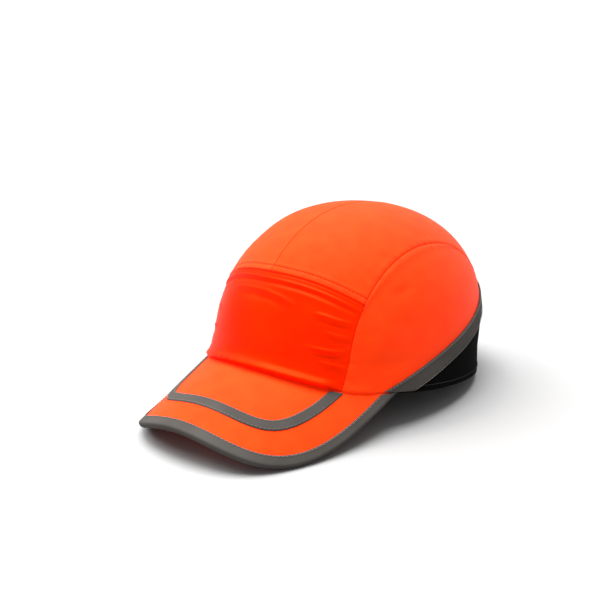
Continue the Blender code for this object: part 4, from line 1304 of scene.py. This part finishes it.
def opening_line():
    """Stitching of the opening's binding."""
    turn = np.linspace(3, 177, 300)
    p = opening_point(turn, 4.6 * mm, 0.98 * mm)
    return p, crown_normal(p)


def strap_part(name, ends, depth, thick, finish, margin=0.0, dip=0.0):
    """Strap or patch along the hem between two compass angles. dip draws its outer end outwards."""
    angle = row(*ends, 110)
    z = column(STRAP_LOW + margin, STRAP_HIGH - margin, 20)

    def grid_at(out):
        return crown_point(angle, z, out + dip * (1 - ease((angle - 150) / 14)))
    return soft_slab(name, grid_at, depth, thick, finish, 0.45 * mm)


def strap_box(ends, depth, margin, facing, crossed=False, inside=0.0):
    """Stitches round a rectangle on the strap, with a cross inside where it is crossed."""
    start = ends[0] + inside
    end = ends[1] - inside
    low = STRAP_LOW + margin
    high = STRAP_HIGH - margin
    corners = [(start, low), (end, low), (end, high), (start, high), (start, low)]
    ways = list(zip(corners, corners[1:]))
    if crossed:
        ways += [(corners[0], corners[2]), (corners[1], corners[3])]
    lines = []
    for (angle_a, z_a), (angle_b, z_b) in ways:
        t = np.linspace(0, 1, 60)
        p = crown_point(mix(angle_a, angle_b, t), mix(z_a, z_b, t), -depth)
        lines.append((p, facing * crown_normal(p)))
    return lines


# ---------------- build

def place_piece(piece, body, slot, *nodes):
    """Puts a piece on its body. slot is not used. nodes are the solids that it stands for."""
    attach(piece, body)
    if nodes:
        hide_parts(*nodes)
    return piece


def place_cloth(piece, body, slot, *nodes):
    """Places a sewn sheet on its body."""
    place_piece(piece, body, slot, *nodes)
    return piece


def sew(name, lines, thread, body, slot, **size):
    """Adds stitches on the body that their cloth rides on."""
    return place_piece(stitches(name, lines, thread, **size), body, slot)


SIDES = ((1, "left"), (-1, "right"))

place_cloth(front_panel(), "cap", "orange_satin", "front_panel")
for sign, side in SIDES:
    place_cloth(crown_panel(sign, side), "cap", "orange_polyester", f"crown_panel_{side}")
    place_cloth(side_panel(sign, side), "cap", "orange_polyester", f"side_panel_{side}")
place_cloth(rear_panel(), "cap", "black_mesh", "rear_panel")
crown_rows = [crown_stitch_line(sign) for sign, side in SIDES]
sew("crown_stitches", crown_rows, ORANGE_THREAD, "cap", "orange_polyester", radius=0.2 * mm)
sew("rear_hem_stitches", [rear_hem_line(sign) for sign, side in SIDES], BLACK_THREAD, "cap", "black_mesh")
place_cloth(rear_tape(), "cap", "reflective_tape", "rear_reflective_tape")
sew("rear_tape_stitches", [tape_line(-0.05), tape_line(0.92)], THREAD, "cap", "reflective_tape")

place_cloth(brim_cover("brim_top_cloth", 0.0), "cap", "orange_polyester", "brim_top_cover")
place_cloth(brim_cover("brim_under_cloth", -BRIM_UNDER_DEPTH, -0.5 * mm), "cap", "orange_polyester",
            "brim_under_cover")
place_cloth(edge_binding(), "cap", "reflective_tape", "brim_edge_binding")
place_cloth(brim_stripe(), "cap", "reflective_tape", "brim_reflective_stripe")
sew("brim_stitches", brim_stitch_lines(), THREAD, "cap", "reflective_tape")

place_piece(sweatband(), "cap", "sweatband_terry", "sweatband")
sew("sweatband_stitches", [sweatband_line(2.5 * mm)], BLACK_THREAD, "cap", "sweatband_terry", sides=5)
place_cloth(front_backing(), "cap", "cotton_tape", "front_panel_backing")
place_cloth(front_seam_binding(), "cap", "cotton_tape")
tape_rows = []
for middle, side in ((0.0, "center"), (SIDE_SEAM_X, "left"), (-SIDE_SEAM_X, "right")):
    place_cloth(seam_tape(f"seam_tape_{side}_cotton", middle), "cap", "cotton_tape", f"seam_tape_{side}")
    tape_rows += seam_tape_lines(middle)
sew("seam_tape_stitches", tape_rows, BLACK_THREAD, "cap", "cotton_tape", pitch=3.6 * mm, length=2.7 * mm,
    sides=4)
place_cloth(care_label(), "cap", "label", "care_label")

place_piece(insert_shell(), "insert", "insert_plastic", "insert_shell")
for node, *place in WALL_PADS:
    place_piece(pad(f"{node}_block", *place), "insert", "foam", node)
place_piece(crown_pad(), "insert", "foam", "foam_pad_crown")

place_cloth(opening_binding(), "cap", "black_webbing", "rear_opening_binding")
sew("rear_opening_stitches", [opening_line()], BLACK_THREAD, "cap", "black_webbing")
hook_depth = STRAP_DEPTH + STRAP_THICK + LAYER_GAP
loop_depth = hook_depth + PATCH_THICK + LAYER_GAP
left_depth = loop_depth + PATCH_THICK + LAYER_GAP
right_strap = strap_part("strap_right_webbing", STRAP_RIGHT, STRAP_DEPTH, STRAP_THICK, WEBBING)
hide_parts("strap_tail", "strap_anchor_right")
fold_from = stand(crown_point(HINGE_ANGLE + HINGE_SPREAD, HINGE_HEIGHT, -STRAP_DEPTH))
fold_to = stand(crown_point(HINGE_ANGLE - HINGE_SPREAD, HINGE_HEIGHT, -STRAP_DEPTH))
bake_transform(right_strap)
left_strap = strap_part("strap_left_webbing", STRAP_LEFT, left_depth, STRAP_THICK, WEBBING,
                        dip=STRAP_LEFT_DIP)
place_cloth(left_strap, "cap", "black_webbing", "strap_left")
hook_patch = strap_part("strap_hook_tape", HOOK_PATCH, hook_depth, PATCH_THICK, HOOK, PATCH_MARGIN)
place_cloth(hook_patch, "strap", "hook_and_loop", "strap_hook_patch")
loop_patch = strap_part("strap_loop_tape", LOOP_PATCH, loop_depth, PATCH_THICK, LOOP, PATCH_MARGIN)
place_cloth(loop_patch, "cap", "hook_and_loop", "strap_loop_patch")
hook_rows = strap_box(HOOK_PATCH, hook_depth + PATCH_THICK, 3 * mm, -1, inside=HOOK_STITCHES_IN)
sew("strap_hook_stitches", hook_rows, BLACK_THREAD, "strap", "black_webbing", radius=0.2 * mm)
loop_rows = strap_box(LOOP_PATCH, loop_depth, 3 * mm, 1, inside=LOOP_STITCHES_IN)
sew("strap_loop_stitches", loop_rows, BLACK_THREAD, "cap", "black_webbing", radius=0.2 * mm)
anchor_rows = strap_box(ANCHOR_STITCHES, STRAP_DEPTH + STRAP_THICK, 2.5 * mm, -1, crossed=True)
sew("strap_anchor_stitches", anchor_rows, BLACK_THREAD, "cap", "black_webbing")

# The board is hidden between the brim's covers, so its plain solid stays.
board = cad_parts["brim_board"]
board.data.materials.clear()
board.data.materials.append(BRIM_PLASTIC)


# ---------------- studio

def camera_basis(azimuth, elevation, roll):
    """Directions to the camera's right, up and back."""
    az, el, r = (math.radians(a) for a in (azimuth, elevation, roll))
    back = Vector((math.sin(az) * math.cos(el), -math.cos(az) * math.cos(el), math.sin(el)))
    flat = Vector((math.cos(az), math.sin(az), 0.0))
    over = back.cross(flat)
    return (flat * math.cos(r) + over * math.sin(r), over * math.cos(r) - flat * math.sin(r), back)


CAMERA_TARGET = Vector((-15.09, -3.52, 68.36)) * mm
CAMERA_DISTANCE = 803.3 * mm
CAMERA_ANGLES = (42.09, 17.15, -2.68)
CAMERA_LENS = 67.685
FLOOR_REACH = 30.0
FLOOR_DROP = 0.2 * mm
TENT_LIGHT = 0.56

right, up, back = camera_basis(*CAMERA_ANGLES)
lens = bpy.data.cameras.new("camera")
lens.lens = CAMERA_LENS
lens.sensor_width = 36.0
camera = bpy.data.objects.new("camera", lens)
bpy.context.scene.collection.objects.link(camera)
place = CAMERA_TARGET + back * CAMERA_DISTANCE
camera.matrix_world = Matrix.Translation(place) @ Matrix((right, up, back)).transposed().to_4x4()
bpy.context.scene.camera = camera

corners = [(x * FLOOR_REACH, y * FLOOR_REACH, 0) for x, y in ((-1, -1), (1, -1), (1, 1), (-1, 1))]
floor_mesh = bpy.data.meshes.new("floor")
floor_mesh.from_pydata(corners, [], [(0, 1, 2, 3)])
# Matt painted sweep: grey by itself, and lit until it is white, so that only the cap's shadow shows.
floor_finish, _, floor_shader = start_finish("matt_painted_floor", 0.9, specular=0.1)
floor_shader.inputs["Base Color"].default_value = linear("9D9D9D")
floor = add_object("floor", floor_mesh, floor_finish)
floor.location.z = -FLOOR_DROP

flat_right = Vector((right.x, right.y, 0)).normalized()
flat_back = Vector((back.x, back.y, 0)).normalized()


def studio(to_right, to_camera, high):
    """Direction in the studio, as shares to the camera's right, towards it and up."""
    return tuple(flat_right * to_right + flat_back * to_camera + Vector((0, 0, high)))


def sun(name, come_from, strength, spread, glossy=True):
    """Distant soft light. Its strength compares what it gives a surface with what a white tent would."""
    light = bpy.data.lights.new(name, "SUN")
    light.energy = strength * math.pi
    light.angle = math.radians(spread)
    made = bpy.data.objects.new(name, light)
    bpy.context.scene.collection.objects.link(made)
    made.rotation_euler = Vector(come_from).to_track_quat("Z", "Y").to_euler()
    made.visible_glossy = glossy
    return made


sun("key_light", studio(-0.72, -0.50, 0.95), 1.6, 50, glossy=False)
sun("overhead_light", studio(0.0, -0.10, 1.0), 1.70, 45)

world = bpy.data.worlds.new("studio_white")
world.use_nodes = True
tent = world.node_tree.nodes["Background"]
tent.inputs["Color"].default_value = linear("FFFFFF")
# The tent is plain white where it is seen behind the cap, and dimmer as a light.
seen = add_node(world.node_tree, "ShaderNodeLightPath")
glow = add_node(world.node_tree, "ShaderNodeMapRange", {"Value": seen.outputs["Is Camera Ray"]},
                To_Min=TENT_LIGHT)
world.node_tree.links.new(glow.outputs["Result"], tent.inputs["Strength"])
bpy.context.scene.world = world
bpy.context.scene.view_settings.view_transform = "Standard"

bpy.context.view_layer.update()
